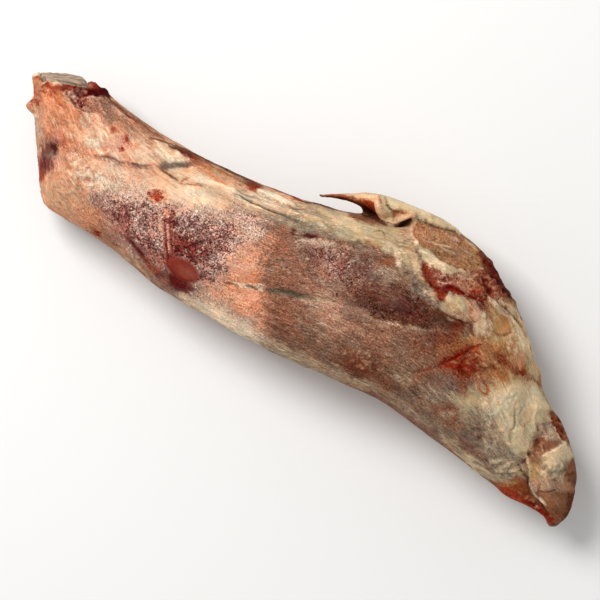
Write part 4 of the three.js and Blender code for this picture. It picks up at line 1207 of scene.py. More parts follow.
# The elbow with its fat and its knob; the ivory strokes and tufts on the fat are painted highlights of its
# wet sheen
ELBOW_MARKINGS: tuple[Marking | Tuft, ...] = (
    # The fat over the elbow
    Area(
        T.GREY_FAT, 1,
        (
            (452, 396), (484, 386), (508, 382), (538, 384), (553, 412), (546, 432), (528, 454), (506, 460),
            (474, 440),
        ),
    ),
    Area(
        T.PALE_FAT, 0.9,
        (
            (490, 390), (512, 386), (536, 386), (550, 408), (544, 424), (528, 446), (510, 446), (500, 430),
            (492, 410),
        ),
        edge=(5, 4), rise=0.3,
    ),
    Tuft(T.IVORY_AND_HIGHLIGHT, 0.5, (496, 408), (14, 14), 60, 26, 12, 1.8, 78, 28, rise=0.25),
    Tuft(T.IVORY_AND_HIGHLIGHT, 0.4, (520, 402), (18, 12), 20, 20, 10, 1.8, 110, 40, rise=0.2),
    Tuft(T.OLIVE, 0.5, (516, 410), (20, 14), 40, 20, 9, 1.6, 100, 40, rise=-0.2),
    Stroke(T.OLIVE, 0.6, ((498, 398), (500, 408), (506, 418)), 1.8, edge=(1, 1), rise=-0.4),
    # The thin grey membrane under it
    Area(T.GREY, 0.9, ((466, 412), (486, 406), (500, 418), (510, 442), (504, 466), (484, 460), (472, 440))),
    Patch(T.TAUPE, 0.6, (474, 422), (10, 8), 40, edge=(5, 4)),
    Patch(T.SILVER, 0.5, (488, 424), (8, 8), 60),
    Patch(T.VEIN, 0.5, (473, 440), (8, 9), 20, edge=(5, 4)),
    Tuft(T.SILVER, 0.6, (488, 436), (16, 18), 0, 34, 10, 1.8, 60, 50, rise=0.3),
    Tuft(T.VEIN, 0.6, (484, 434), (14, 14), 0, 18, 8, 1.6, 40, 60, rise=-0.3),
    Patch(T.BROWN, 0.7, (478.5, 427.5), (4, 3.4), 60, edge=(2.5, 2)),
    Patch(T.BRUISE, 0.7, (478, 438.5), (3.4, 4), 0, edge=(2, 2)),
    Stroke(T.PALE_FAT, 0.8, ((496, 412), (500, 424), (506, 436), (508, 444)), 4, edge=(2, 1.5), rise=0.4),
    Area(
        T.GREY, 0.85, ((492, 458), (510, 452), (524, 460), (522, 476), (504, 480), (490, 470)),
        edge=(4, 4),
    ),
    Tuft(T.PALE_FAT, 0.5, (506, 468), (16, 8), 20, 22, 8, 2, 10, 50, rise=0.3),
    Tuft(T.VEIN, 0.6, (506, 466), (14, 8), 20, 14, 5, 1.6, 60, 60, rise=-0.3),
    Patch(T.FAT, 0.5, (519, 471), (7, 6), 40, edge=(3, 3)),
    Stroke(T.SILVER, 0.8, ((440, 432), (462, 454), (480, 470), (506, 482)), 11, edge=(4, 3)),
    Tuft(T.PALE_FAT, 0.5, (470, 460), (34, 5), 42, 28, 12, 1.8, 40, 10, rise=0.2),
    Tuft(T.SEAM, 0.4, (466, 452), (34, 6), 42, 24, 12, 1.6, 40, 10),
    # The lobe and the folds above the knob, with painted shade in their creases
    Area(
        T.PALE_FAT, 1,
        (
            (511, 431), (515, 428), (523, 428), (528, 436), (530, 446), (526, 452), (516, 453), (510, 446),
        ),
        edge=(1.8, 1.5), rise=0.6,
    ),
    Patch(T.OLIVE, 0.7, (522.5, 432.5), (1.8, 2.6), 0, edge=(1.2, 3)),
    Stroke(
        T.CREASE_SHADE, 0.75,
        (
            (515.5, 408), (515, 418), (514.3, 427), (511, 430), (509.6, 435), (509.8, 441),
        ),
        1.7, 0.4,
        edge=(0.9, 0.9), rise=-0.5,
    ),
    Area(
        T.GREY_FAT, 0.8, ((529, 410), (541, 408), (548, 414), (544, 436), (534, 438), (529, 424)),
        edge=(3, 2),
    ),
    Stroke(
        T.PALE_FAT, 0.9, ((535.5, 411), (533.5, 418), (534, 426), (535.5, 435)), 2.4,
        edge=(1.1, 0.8), rise=0.4,
    ),
    Area(
        T.GRISTLE, 0.9, ((540, 420), (552, 417), (557, 428), (560, 438), (552, 443), (542, 438)),
        edge=(2.5, 2.5),
    ),
    Tuft(T.VEIN, 0.6, (547, 428), (6, 9), 0, 12, 5, 1.8, 80, 50, rise=-0.3),
    Tuft(T.PALE_FAT, 0.6, (550, 432), (6, 8), 20, 8, 6, 1.8, 60, 40, rise=0.3),
    Stroke(T.CREASE_SHADE, 0.8, ((537.8, 422), (538, 427), (538.7, 433)), 1.8, edge=(0.9, 0.8), rise=-0.6),
    Stroke(T.CLOT, 0.8, ((539, 435.5), (540.6, 439)), 2, edge=(1, 0.6), rise=-0.5),
    # The torn rim
    Stroke(
        T.BROWN, 0.9,
        (
            (551, 413), (559, 419), (565, 431), (570, 447), (575, 462), (576, 474), (573, 492), (566, 514),
        ),
        9, 0.2,
        edge=(2.2, 1.5),
    ),
    Area(
        T.RUST, 0.9,
        (
            (551, 412), (556, 416), (561, 423), (565, 433), (567, 441), (562, 441), (558, 432), (553, 424),
        ),
        edge=(1.6, 1.5),
    ),
    Tuft(T.CLOT, 0.9, (559, 426), (12, 4), 62, 20, 3.5, 2.2, 60, 60, rise=-0.5),
    Tuft(T.BUFF, 0.7, (564, 430), (16, 2), 64, 10, 3, 1.6, 60, 60, rise=0.3),
    Stroke(T.CLOT, 0.9, ((557, 430), (559.5, 434.5), (562.5, 440)), 3, edge=(1.2, 1.2), rise=-0.6),
    Stroke(
        T.IVORY_AND_HIGHLIGHT, 0.85, ((555.5, 427), (559, 435.8), (562, 442), (565.7, 442.5)), 2.4,
        edge=(1.1, 0.8), rise=0.4,
    ),
    # The pocket, darkened by painted shade, the plate and the knob
    Area(
        T.SINEW, 1,
        (
            (533, 441), (538, 438), (546, 439), (554, 443), (555, 448), (548, 452), (541, 455), (534, 453),
        ),
        edge=(1.8, 1.5), rise=-0.8,
    ),
    # Painted shade in the pocket
    Patch(T.BROWN, 0.65, (536, 438), (6, 8), 0, edge=(3, 2)),
    Patch(T.CREASE_SHADE, 0.8, (536, 442), (2.6, 3.6), 0, edge=(1.4, 1)),
    Area(
        T.OLIVE, 0.9, ((527, 462), (532, 459), (538, 463), (541, 474), (537, 480), (529, 478)),
        edge=(2.5, 2),
    ),
    Patch(T.CREASE_SHADE, 0.85, (529.4, 454), (2, 2.6), 0, edge=(1.2, 0.8), rise=-0.5),
    Patch(T.SINEW, 0.9, (532, 459.4), (3.6, 3.8), 20, edge=(1.3, 0.8), rise=0.4),
    Patch(T.SINEW, 0.9, (537.4, 458.6), (3.6, 4.2), 0, edge=(1.3, 0.8), rise=0.4),
    Patch(T.CLOT, 0.85, (523, 461), (3.6, 1.6), -42, edge=(1.1, 1)),
    Area(
        T.GREY_FAT, 0.9,
        (
            (540, 460), (550, 457), (562, 457), (569, 462), (568, 478), (562, 488), (548, 491), (539, 488),
            (538, 474),
        ),
        edge=(4.5, 3.5),
    ),
    Area(
        T.PALE_FAT, 0.9,
        (
            (542, 456), (549, 452), (554.7, 449.3), (559, 446), (565.7, 442.4), (570, 449), (573, 457),
            (568, 461), (550, 460),
        ),
        edge=(2.6, 1.5), rise=0.5,
    ),
    # Painted highlight along the plate's upper edge
    Stroke(
        T.IVORY_AND_HIGHLIGHT, 0.8, ((543, 455.6), (549, 452.4), (554.7, 449.8), (560, 446.6), (565, 443.8)), 2,
        edge=(1, 0.6), rise=0.2,
    ),
    Patch(T.PALE_FAT, 0.75, (554, 463.5), (8, 4.4), 0, edge=(2.5, 2.5), rise=0.4),
    Patch(T.GREY, 0.6, (557, 474), (7, 5), 20, edge=(2.5, 2.5)),
    Tuft(T.SEAM, 0.55, (554, 471), (11, 6), 10, 16, 6, 1.8, 20, 60, rise=-0.35),
    Tuft(T.PALE_FAT, 0.6, (554, 470), (12, 8), 10, 16, 6, 1.9, 10, 60, rise=0.35),
    Stroke(T.IVORY_AND_HIGHLIGHT, 0.8, ((541, 475), (543, 472), (546, 473), (545, 476.5)), 2, edge=(1, 0.5), rise=0.4),
    Area(
        T.BEIGE, 0.8,
        (
            (540, 480), (548, 476.5), (560, 479), (563, 485), (556, 490), (547, 491.5), (540, 489),
        ),
        edge=(2.4, 2), rise=0.5,
    ),
    # Painted shadow line under the lower fold, in gore colour
    Stroke(T.GORE, 0.9, ((539, 492), (547.4, 492.5), (555.7, 490.2)), 2, edge=(1, 0.6), rise=-0.6),
    Area(
        T.BUFF, 0.9, ((528, 479), (534, 477), (539, 481), (539, 488), (537, 493), (531, 489)),
        edge=(1.6, 1), rise=0.3,
    ),
    Stroke(T.BROWN, 0.85, ((540, 483), (539, 487.5), (537.8, 493.5)), 1.9, edge=(1, 0.6), rise=-0.5),
    Area(
        T.SINEW, 0.9, ((567, 461), (573, 460), (576, 470), (574, 484), (570, 492), (565, 488), (566, 476)),
        edge=(2.5, 2),
    ),
    Tuft(T.BROWN, 0.6, (570, 476), (4, 14), 0, 16, 4, 2, 80, 60, rise=-0.3),
    # The lower face
    Area(
        T.SINEW, 1, ((539, 494), (556, 492), (567, 491), (568, 508), (562, 519), (556, 527), (547, 514)),
        edge=(2.5, 2),
    ),
    Patch(T.BUFF, 0.3, (552, 498), (9, 5), 40, edge=(4, 3)),
    Tuft(T.BROWN, 0.3, (555, 508), (14, 7), 62, 16, 10, 1.8, 60, 12),
    # The red wedge below it
    Area(
        T.RUST, 1,
        (
            (490, 482), (506, 481), (522, 477), (528, 483), (537, 499), (546, 512), (552, 524), (534, 510),
            (516, 500),
        ),
        edge=(2.5, 2),
    ),
    Patch(T.OLIVE, 0.55, (508, 483), (10, 3), -8, edge=(3, 2)),
    Stroke(T.SCARLET, 0.85, ((494, 487), (504, 491), (514, 495), (524, 499)), 7, edge=(2.5, 3)),
    Stroke(T.RED, 0.95, ((524, 501), (534, 505), (543, 512), (549, 520)), 6.5, 0.3, edge=(1.8, 1.5)),
    Tuft(T.GORE, 0.6, (518, 490), (12, 6), 35, 12, 8, 2, 40, 30),
    Tuft(T.CLOT, 0.8, (538, 507), (14, 3), 40, 16, 4, 1.7, 30, 50, rise=-0.3),
    Tuft(T.SALMON, 0.5, (530, 501), (14, 3), 35, 12, 3.4, 1.6, 30, 50, rise=0.2),
    Patch(T.RED, 0.8, (550, 521), (4, 4), 30, edge=(2, 1.5)),
    Patch(T.CLOT, 0.8, (552, 528), (3.4, 1.6), 0, edge=(1.2, 0.8)),
    # The crease beside the knob in painted shade, and the ivory highlights painted on its lips
    Stroke(
        T.CREASE_SHADE, 0.9,
        (
            (518.7, 465), (523.2, 473.5), (528, 478), (528.3, 483), (530.8, 489.4), (537.2, 499.6),
            (544.2, 509.2), (549, 515),
        ),
        2, 0.3,
        edge=(1, 0.6), rise=-0.8,
    ),
    Stroke(
        T.PALE_FAT, 0.9, ((526.2, 453.7), (528, 462.9), (529.5, 468), (530, 475)), 1.8,
        edge=(0.9, 0.6), rise=0.4,
    ),
    Stroke(
        T.IVORY_AND_HIGHLIGHT, 0.9, ((529.4, 483), (532, 490), (535.8, 496.8), (540.8, 501.8)), 1.7,
        edge=(0.9, 0.4), rise=0.4,
    ),
    Stroke(T.IVORY_AND_HIGHLIGHT, 0.85, ((539.4, 497.7), (543, 502), (546, 505)), 1.8, edge=(0.9, 0.4), rise=0.3),
    # Washes and strands over the knob and the fat
    Patch(T.TAUPE, 0.35, (489, 393), (10, 8), 20, edge=(5, 4)),
    Patch(T.PALE_FAT, 0.6, (521, 398), (11, 17), 0, edge=(5, 4)),
    Patch(T.BUFF, 0.5, (567, 487), (5, 9), 100, edge=(3, 2)),
    Patch(T.ROSY_FAT, 0.6, (544, 484), (5, 4), 0, edge=(3, 2.5)),
    Patch(T.PALE_FAT, 0.45, (557, 467), (6, 4), 10, edge=(3, 2.5)),
    Patch(T.VEIN, 0.35, (474, 436), (11, 13), 20, edge=(5, 5)),
    Tuft(T.SEAM, 0.5, (474, 436), (10, 12), 60, 16, 10, 1.8, 70, 35, rise=-0.2),
    Patch(T.PALE_FAT, 0.45, (503, 430), (6, 10), 10),
    Tuft(T.BUFF, 0.6, (542, 450), (9, 5), 30, 14, 6, 1.3, 30, 40, rise=0.3),
    Tuft(T.BROWN, 0.7, (538, 448), (9, 5), 30, 12, 6, 1.6, 40, 40, rise=-0.3),
    Tuft(T.VEIN, 0.7, (541, 432), (10, 8), 60, 16, 7, 1.5, 60, 40, rise=-0.3),
    Patch(T.SILVER, 0.35, (489, 425), (9, 9), 20, edge=(5, 4)),
    # The looped small vessels above the fat
    Stroke(
        T.RUST, 1, ((477.5, 380), (480, 390), (485, 394.5), (488, 390), (483, 380), (480, 374)), 2.6, 0.3,
        edge=(1, 0.6), rise=0.4,
    ),
    Stroke(
        T.RUST, 0.9, ((459.6, 388), (462, 384.6), (465.6, 388), (464, 392.6), (460.4, 391.6)), 2.2, 0.2,
        edge=(1, 0.5), rise=0.3,
    ),
)
# Lumps and dents of the outline: torn gristle and clotted blood at the knuckle, and the elbow's rim.
BULGES: tuple[Bulge, ...] = (
    Bulge((33, 105), 20, 2.3, 4.4),
    Bulge((35, 112), 20, 1.6, 1.2),
    Bulge((107, 88), 22, 1.5, 2.0),
    Bulge((104, 82), 25, 1.8, -1.0),
    Bulge((46, 83), 31, 1.8, 1.2),
    Bulge((55, 86), 32, 2.0, 1.5),
    Bulge((64, 88), 33, 2.0, 1.6),
    Bulge((73, 89), 33, 2.0, 1.5),
    Bulge((82, 90), 32, 2.0, 1.3),
    Bulge((97, 87), 24, 2.0, 0.6),
    Bulge((33, 80), 24, 2.4, 1.6),
    Bulge((39, 75), 18, 2.2, 1.4),
    Bulge((90, 84), 24, 2.2, 1.2),
    Bulge((38, 180), 18, 6.0, 0.9),
    Bulge((48, 206), 18, 7.0, 1.1),
    Bulge((66, 220), 18, 7.0, 0.8),
    Bulge((130, 115), 24, 9.0, -1.0),
    Bulge((160, 134), 24, 9.0, -0.6),
    Bulge((503, 283), 24, 6.0, -0.9),
    Bulge((489, 262), 26, 1.4, 0.9),
    Bulge((496, 274), 25, 1.3, 0.9),
    Bulge((507, 293), 24, 1.4, 1.0),
    Bulge((512, 303), 24, 1.5, 1.2),
    Bulge((541, 372), 22, 3.0, 1.6),
    Bulge((551, 404), 22, 4.0, -1.6),
    Bulge((576, 470), 20, 6.0, 1.0),
    Bulge((506, 494), 18, 5.0, 1.2),
    Bulge((517, 500), 15, 1.4, 0.9),
    Bulge((529, 507), 15, 1.3, 0.9),
    Bulge((534, 512), 18, 3.5, -1.2),
    Bulge((551, 524), 18, 2.4, 2.6),
)
# The loose tongue of fat beside the shank.
TONGUE = Area(
    T.FAT, 0.9, ((306, 186), (384, 184), (446, 214), (432, 226), (392, 228), (306, 202)), edge=(3, 3)
)
# Markings of the sides and the underside, in millimetres along the shank and round it from the top.
FLANK_MARKINGS: tuple[Marking, ...] = (
    Stroke(T.SILVER, 0.6, ((-112, 36), (-50, 34), (20, 38), (100, 34)), 18, edge=(6, 3), patchy=0.5),
    Stroke(T.LILAC, 0.7, ((-90, 52), (-30, 56), (50, 52)), 20, edge=(7, 6), patchy=0.5),
    Stroke(T.TAUPE, 0.8, ((-110, -34), (-50, -36), (10, -38)), 14, edge=(5, 3), patchy=0.3),
    Stroke(T.RUST, 0.7, ((-70, -44), (-20, -46), (30, -42)), 5, edge=(3, 3), patchy=0.4),
    Stroke(T.FAT, 0.7, ((0, -40), (34, -46), (70, -40)), 22, edge=(6, 6), patchy=0.5),
    Stroke(T.GREY_FAT, 0.7, ((66, -44), (100, -50), (126, -44)), 18, edge=(6, 6), patchy=0.5),
    Stroke(T.SILVER, 0.7, ((60, 50), (98, 54), (126, 44)), 18, edge=(6, 6), patchy=0.5),
    Stroke(T.OXBLOOD, 0.6, ((110, -60), (122, -20), (122, 20), (110, 60)), 8, edge=(4, 5), patchy=0.5),
)
MARKINGS: tuple[Marking, ...] = tuple(
    stroke
    for group in (
        KNUCKLE_MARKINGS,
        RIDGE_MARKINGS,
        VEIN_MARKINGS,
        BELLY_MARKINGS,
        FLEXOR_MARKINGS,
        SHOULDER_MARKINGS,
        JOINT_MARKINGS,
        WASH_MARKINGS,
        ELBOW_MARKINGS,
    )
    for marking in group
    for stroke in (marking.strokes() if isinstance(marking, Tuft) else [marking])
)


def mesh_places(mesh: bpy.types.Mesh) -> np.ndarray:
    """Reads the places of a mesh's vertices, one in each row."""
    flat = np.zeros(len(mesh.vertices) * 3)
    mesh.vertices.foreach_get("co", flat)
    return flat.reshape(-1, 3)


def mesh_normals(mesh: bpy.types.Mesh) -> np.ndarray:
    """Reads the normals of a mesh's vertices, one in each row."""
    flat = np.zeros(len(mesh.vertices) * 3)
    mesh.vertex_normals.foreach_get("vector", flat)
    return flat.reshape(-1, 3)


def move_mesh(mesh: bpy.types.Mesh, places: np.ndarray) -> None:
    """Puts a mesh's vertices at new places."""
    mesh.vertices.foreach_set("co", places.ravel())
    mesh.update()


def cad_copy(node: bpy.types.Object) -> bmesh.types.BMesh:
    """Copies a node's mesh with its loose triangles merged."""
    copy = bmesh.new()
    copy.from_mesh(node.data)
    bmesh.ops.remove_doubles(copy, verts=copy.verts, dist=1e-7)
    return copy


def new_object(name: str, data: bpy.types.ID) -> bpy.types.Object:
    """Adds a mesh, a camera or a light to the scene as an object."""
    made = bpy.data.objects.new(name, data)
    bpy.context.scene.collection.objects.link(made)
    return made


def object_of(name: str, shape: bmesh.types.BMesh) -> bpy.types.Object:
    """Makes an object of a bmesh and frees the bmesh."""
    mesh = bpy.data.meshes.new(name)
    shape.to_mesh(mesh)
    shape.free()
    return new_object(name, mesh)


def settle_modifiers(piece: bpy.types.Object) -> None:
    """Replaces an object's mesh with what its modifiers make of it."""
    graph = bpy.context.evaluated_depsgraph_get()
    made = bpy.data.meshes.new_from_object(piece.evaluated_get(graph))
    old = piece.data
    piece.modifiers.clear()
    piece.data = made
    bpy.data.meshes.remove(old)


def remesh(piece: bpy.types.Object, voxel: float) -> None:
    """Gives a closed object an even mesh with faces of a size."""
    even = piece.modifiers.new("even", "REMESH")
    even.mode = "VOXEL"
    even.voxel_size = voxel
    settle_modifiers(piece)


def smooth(shape: bmesh.types.BMesh, verts: list[bmesh.types.BMVert], rounds: int) -> None:
    """Moves each vertex halfway to the middle of its neighbours, for a number of rounds."""
    axes = {"use_axis_x": True, "use_axis_y": True, "use_axis_z": True}
    for _ in range(rounds):
        bmesh.ops.smooth_vert(shape, verts=verts, factor=0.5, **axes)


def shade_smooth(piece: bpy.types.Object) -> None:
    """Shades all faces of an object smooth."""
    piece.data.polygons.foreach_set("use_smooth", np.ones(len(piece.data.polygons), bool))
    piece.data.update()


def place_on_body(piece: bpy.types.Object, slot: str, *nodes: str) -> None:
    """Lets a piece ride on the part's body and hides the nodes that it stands for."""
    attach(piece, BODY)
    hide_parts(*nodes)
    LOG.info("%s: %d faces", piece.name, len(piece.data.polygons))


class Wire:
    """A number in a material. Arithmetic on it adds Math nodes."""

    def __init__(self, bench: Bench, socket: bpy.types.NodeSocket) -> None:
        """Wraps a node's output."""
        self.bench = bench
        self.socket = socket

    def __add__(self, other: Wire | float) -> Wire:
        """Adds."""
        return self.bench.math("ADD", self, other)

    __radd__ = __add__

    def __mul__(self, other: Wire | float) -> Wire:
        """Multiplies."""
        return self.bench.math("MULTIPLY", self, other)

    def __sub__(self, other: Wire | float) -> Wire:
        """Takes away."""
        return self.bench.math("SUBTRACT", self, other)

    def __rsub__(self, other: Wire | float) -> Wire:
        """Is taken away."""
        return self.bench.math("SUBTRACT", other, self)

    def rises(self, low: Wire | float, high: Wire | float) -> Wire:
        """Rises smoothly from 0 at low to 1 at high."""
        settings = {"interpolation_type": "SMOOTHSTEP"}
        inputs = {"Value": self, "From Min": low, "From Max": high}
        return self.bench.value("ShaderNodeMapRange", settings, inputs)


class Bench:
    """Builds the nodes of one material."""

    def __init__(self, name: str) -> None:
        """Starts a material with one shader."""
        self.material = bpy.data.materials.new(name)
        self.material.use_nodes = True
        self.tree = self.material.node_tree
        self.shader = self.tree.nodes["Principled BSDF"]

    def node(self, kind: str, settings: dict | None = None, inputs: dict | None = None) -> bpy.types.Node:
        """Adds a node.

        Args:
            kind: The node's type.
            settings: Its own settings, set first.
            inputs: Values or links of its sockets, by name or number.

        Returns:
            The node.
        """
        made = self.tree.nodes.new(kind)
        for name, value in (settings or {}).items():
            setattr(made, name, value)
        for name, value in (inputs or {}).items():
            self.feed(made.inputs[name], value)
        return made

    def feed(self, socket: bpy.types.NodeSocket, value: Wire | float | tuple) -> None:
        """Links a socket to a wire, or sets its own value."""
        if isinstance(value, Wire):
            self.tree.links.new(value.socket, socket)
        else:
            socket.default_value = value

    def value(self, kind: str, settings: dict | None, inputs: dict | None, output: str | int = 0) -> Wire:
        """Adds a node and gives one of its outputs."""
        return Wire(self, self.node(kind, settings, inputs).outputs[output])

    def math(self, operation: str, first: Wire | float, second: Wire | float) -> Wire:
        """Adds a Math node."""
        return self.value("ShaderNodeMath", {"operation": operation}, {0: first, 1: second})

    def attribute(self, name: str, output: str) -> Wire:
        """Reads an attribute of the mesh."""
        return self.value("ShaderNodeAttribute", {"attribute_name": name}, None, output)

    def place(self) -> Wire:
        """Gives the place on the piece."""
        return self.value("ShaderNodeTexCoord", None, None, "Object")

    def stretch(self, vector: Wire, shares: Triple) -> Wire:
        """Multiplies a vector's three parts."""
        return self.value("ShaderNodeVectorMath", {"operation": "MULTIPLY"}, {0: vector, 1: shares})

    def turned(self, vector: Wire, angle: float) -> Wire:
        """Turns a vector about Z."""
        inputs = {"Vector": vector, "Angle": angle}
        return self.value("ShaderNodeVectorRotate", {"rotation_type": "Z_AXIS"}, inputs)

    def noise(
        self, vector: Wire, size: float, detail: float = 3.0, rough: float = 0.6, twist: float = 0.0
    ) -> Wire:
        """Adds noise with lumps of a size, from about 0 to 1."""
        inputs = {
            "Vector": vector,
            "Scale": 1 / size,
            "Detail": detail,
            "Roughness": rough,
            "Distortion": twist,
        }
        return self.value("ShaderNodeTexNoise", None, inputs, "Fac")

    def tint(self, colour: Wire, shares: Triple) -> Wire:
        """Multiplies a colour's three parts."""
        return self.mix(1.0, colour, (*shares, 1.0), "MULTIPLY")

    def parts(self, colour: Wire) -> tuple[Wire, Wire, Wire]:
        """Splits a colour into its three numbers."""
        split = self.node("ShaderNodeSeparateColor", None, {0: colour})
        red, green, blue = (Wire(self, socket) for socket in split.outputs)
        return red, green, blue

    def near(self, value: Wire, level: float, reach: float) -> Wire:
        """Gives 1 where a value is at a level, falling to 0 at a reach from it."""
        return self.value("ShaderNodeMath", {"operation": "ABSOLUTE"}, {0: value - level}).rises(reach, 0.0)

    def mix(self, share: Wire | float, first: Wire | tuple, second: Wire | tuple, blend: str = "MIX") -> Wire:
        """Mixes two colours."""
        settings = {"data_type": "RGBA", "blend_type": blend}
        return self.value("ShaderNodeMix", settings, {0: share, 6: first, 7: second}, 2)

    def bump(self, height: Wire, depth: float, normal: Wire | None = None) -> Wire:
        """Bends the normal by a height whose whole range is a depth."""
        inputs = {"Height": height, "Distance": depth, "Strength": 1.0}
        if normal:
            inputs["Normal"] = normal
        return self.value("ShaderNodeBump", None, inputs)


@dataclass(frozen=True)
class MeatFinish:
    """The finish of moist raw meat, which lays flecks, pits, fibres and wrinkles over the painted tissue,
    with painted shade in the valleys between strands and painted highlights on their wet crests.

    Levels are values of a noise between which its effect grows from nothing to full.

    Attributes:
        pale: Colour of the pale flecks of membrane.
        crest_highlight: Colour of the painted highlight on the wet crests of strands and on the curls.
        pit: What a dark pit multiplies the colour by.
        valley_shade: What the painted shade in a valley between strands, and in a hollow, multiplies it by.
        thread: What a pale thread of the muscle multiplies it by.
        gap: What the gap between two threads multiplies it by.
        cool: What the cooler places of a slow drift multiply it by.
        warm: What the drift's warmer places multiply it by.
        fleck: Size of the flecks.
        fibre: Width of a fibre.
        wrinkle: Distance between the membrane's wrinkles.
        drift: Size of the drift's places.
        fleck_level: Where flecks start, and how much a pale tissue and a cluster lower that.
        pit_level: Where pits start, how much a pitted tissue raises that and a cluster lowers it.
        rim: Width of the rim of a fleck or a pit, in levels.
        valley_levels: Levels of the valleys.
        crest_levels: Levels of the crests.
        thread_levels: Levels of the threads.
        gap_levels: Levels of the gaps.
        curl: Level of a wrinkle's curl, its reach and its strength.
        hollow: The same of the hollow beside it.
        shade_share: Strength of the painted shade in valleys and hollows.
        highlight_share: Strength of the painted highlights on crests and curls.
        pit_share: Strength of the pits.
        fleck_share: Strength of the flecks.
        fibre_share: Strength of threads and gaps.
        grain: Strength of the grain, its least coarseness and its middle lightness.
        roughness: Roughness where dry, how much wetness takes from it and how much it varies.
        coat: Share of the clear coat where wet, and its roughness.
        strand_depth: Depth of the strands' relief.
        fleck_depth: Depth of the flecks' relief.
        softness: Share of the light that goes through the surface.
        bleed: How far it goes.
        bleed_shares: Shares of that for red, green and blue.
    """

    pale: str = "e9c9b4"
    crest_highlight: str = "f8dcbc"
    pit: Triple = (0.25, 0.12, 0.13)
    valley_shade: Triple = (0.6, 0.38, 0.3)
    thread: Triple = (1.85, 2.2, 2.4)
    gap: Triple = (0.36, 0.3, 0.31)
    cool: Triple = (0.88, 0.915, 0.94)
    warm: Triple = (1.15, 1.025, 0.965)
    fleck: float = 1.0 * MM
    fibre: float = 0.46 * MM
    wrinkle: float = 2.8 * MM
    drift: float = 6 * MM
    fleck_level: Triple = (0.65, 0.24, 0.5)
    pit_level: Triple = (0.32, 0.22, 0.3)
    rim: float = 0.07
    valley_levels: Pair = (0.48, 0.38)
    crest_levels: Pair = (0.53, 0.64)
    thread_levels: Pair = (0.5, 0.68)
    gap_levels: Pair = (0.47, 0.33)
    curl: Triple = (0.5, 0.05, 0.6)
    hollow: Triple = (0.43, 0.035, 0.7)
    shade_share: float = 0.55
    highlight_share: float = 1.2
    pit_share: float = 0.85
    fleck_share: float = 0.8
    fibre_share: float = 0.9
    grain: Triple = (1.4, 0.04, 0.96)
    roughness: Triple = (0.62, 0.32, 0.3)
    coat: Pair = (0.1, 0.2)
    strand_depth: float = 0.45 * MM
    fleck_depth: float = 0.35 * MM
    softness: float = 0.08
    bleed: float = 0.6 * MM
    bleed_shares: Triple = (1.0, 0.45, 0.3)

    def material(self) -> bpy.types.Material:
        """Makes the material."""
        bench = Bench("meat")
        place = bench.place()
        tone = bench.attribute("tone", "Color")
        pale, dark, fibrous = bench.parts(bench.attribute("traits", "Color"))
        wet, coarse, folded = bench.parts(bench.attribute("feel", "Color"))

        # Flecks and pits, which lie in clusters
        speckle = bench.noise(place, self.fleck, detail=4.0, rough=0.65)
        cluster = bench.noise(place, self.fleck * 5, detail=2.0)
        level, by_tissue, by_cluster = self.fleck_level
        pale_from = level - pale * by_tissue - (cluster - 0.5) * by_cluster
        flecks = speckle.rises(pale_from, pale_from + self.rim) * pale.rises(0.08, 0.3)
        pitting = bench.noise(place, self.fleck * 1.1, detail=4.0, rough=0.7, twist=1.0)
        level, by_tissue, by_cluster = self.pit_level
        dark_from = level + dark * by_tissue - (cluster - 0.5) * by_cluster
        pits = pitting.rises(dark_from, dark_from - self.rim) * dark.rises(0.0, 0.1)

        # Fibres, strands and wrinkles, drawn out along the shank
        lie = bench.attribute("lie", "Vector")
        fibres = bench.noise(bench.stretch(lie, (0.2, 1.0, 1.0)), self.fibre, detail=4.0, twist=1.0)
        strands = bench.noise(bench.stretch(lie, (0.1, 1.0, 1.0)), self.fibre * 2.6, detail=3.0, twist=0.7)
        stranded = folded + fibrous * 0.25
        shaded_valleys = strands.rises(*self.valley_levels) * stranded
        lit_crests = strands.rises(*self.crest_levels) * stranded
        wrinkles = bench.noise(bench.stretch(lie, (0.5, 1.0, 1.0)), self.wrinkle, detail=1.5, twist=0.8)
        level, reach, strength = self.curl
        curls = bench.near(wrinkles, level, reach) * folded * strength
        level, reach, strength = self.hollow
        hollows = bench.near(wrinkles, level, reach) * folded * strength

        # The colour, with painted shade in the valleys and hollows of strands and painted highlights on their
        # wet crests and curls
        grain = bench.noise(place, self.fleck * 0.55, detail=2.0)
        drift = bench.noise(place, self.drift, detail=2.0).rises(0.34, 0.66)
        colour = bench.mix(drift, bench.tint(tone, self.cool), bench.tint(tone, self.warm))
        # Painted shade in the valleys between strands and in the hollows beside the wrinkles
        colour = bench.mix((shaded_valleys + hollows) * self.shade_share, colour, bench.tint(colour, self.valley_shade))
        # Painted highlights on the wet crests and curls of the brighter tissues
        bright = bench.parts(tone)[1].rises(0.03, 0.22)
        highlights = (lit_crests + curls) * wet * bright * self.highlight_share
        colour = bench.mix(highlights, colour, (*linear(self.crest_highlight), 1.0))
        colour = bench.mix(pits * self.pit_share, colour, bench.tint(colour, self.pit))
        colour = bench.mix(flecks * self.fleck_share, colour, (*linear(self.pale), 1.0))
        threads = fibres.rises(*self.thread_levels) * fibrous * self.fibre_share
        colour = bench.mix(threads, colour, bench.tint(colour, self.thread))
        gaps = fibres.rises(*self.gap_levels) * fibrous * self.fibre_share
        colour = bench.mix(gaps, colour, bench.tint(colour, self.gap))
        strength, least, middle = self.grain
        light = (grain.rises(0.3, 0.7) - 0.5) * (coarse + least) * strength + middle
        lit = bench.value("ShaderNodeVectorMath", {"operation": "SCALE"}, {0: colour, "Scale": light})

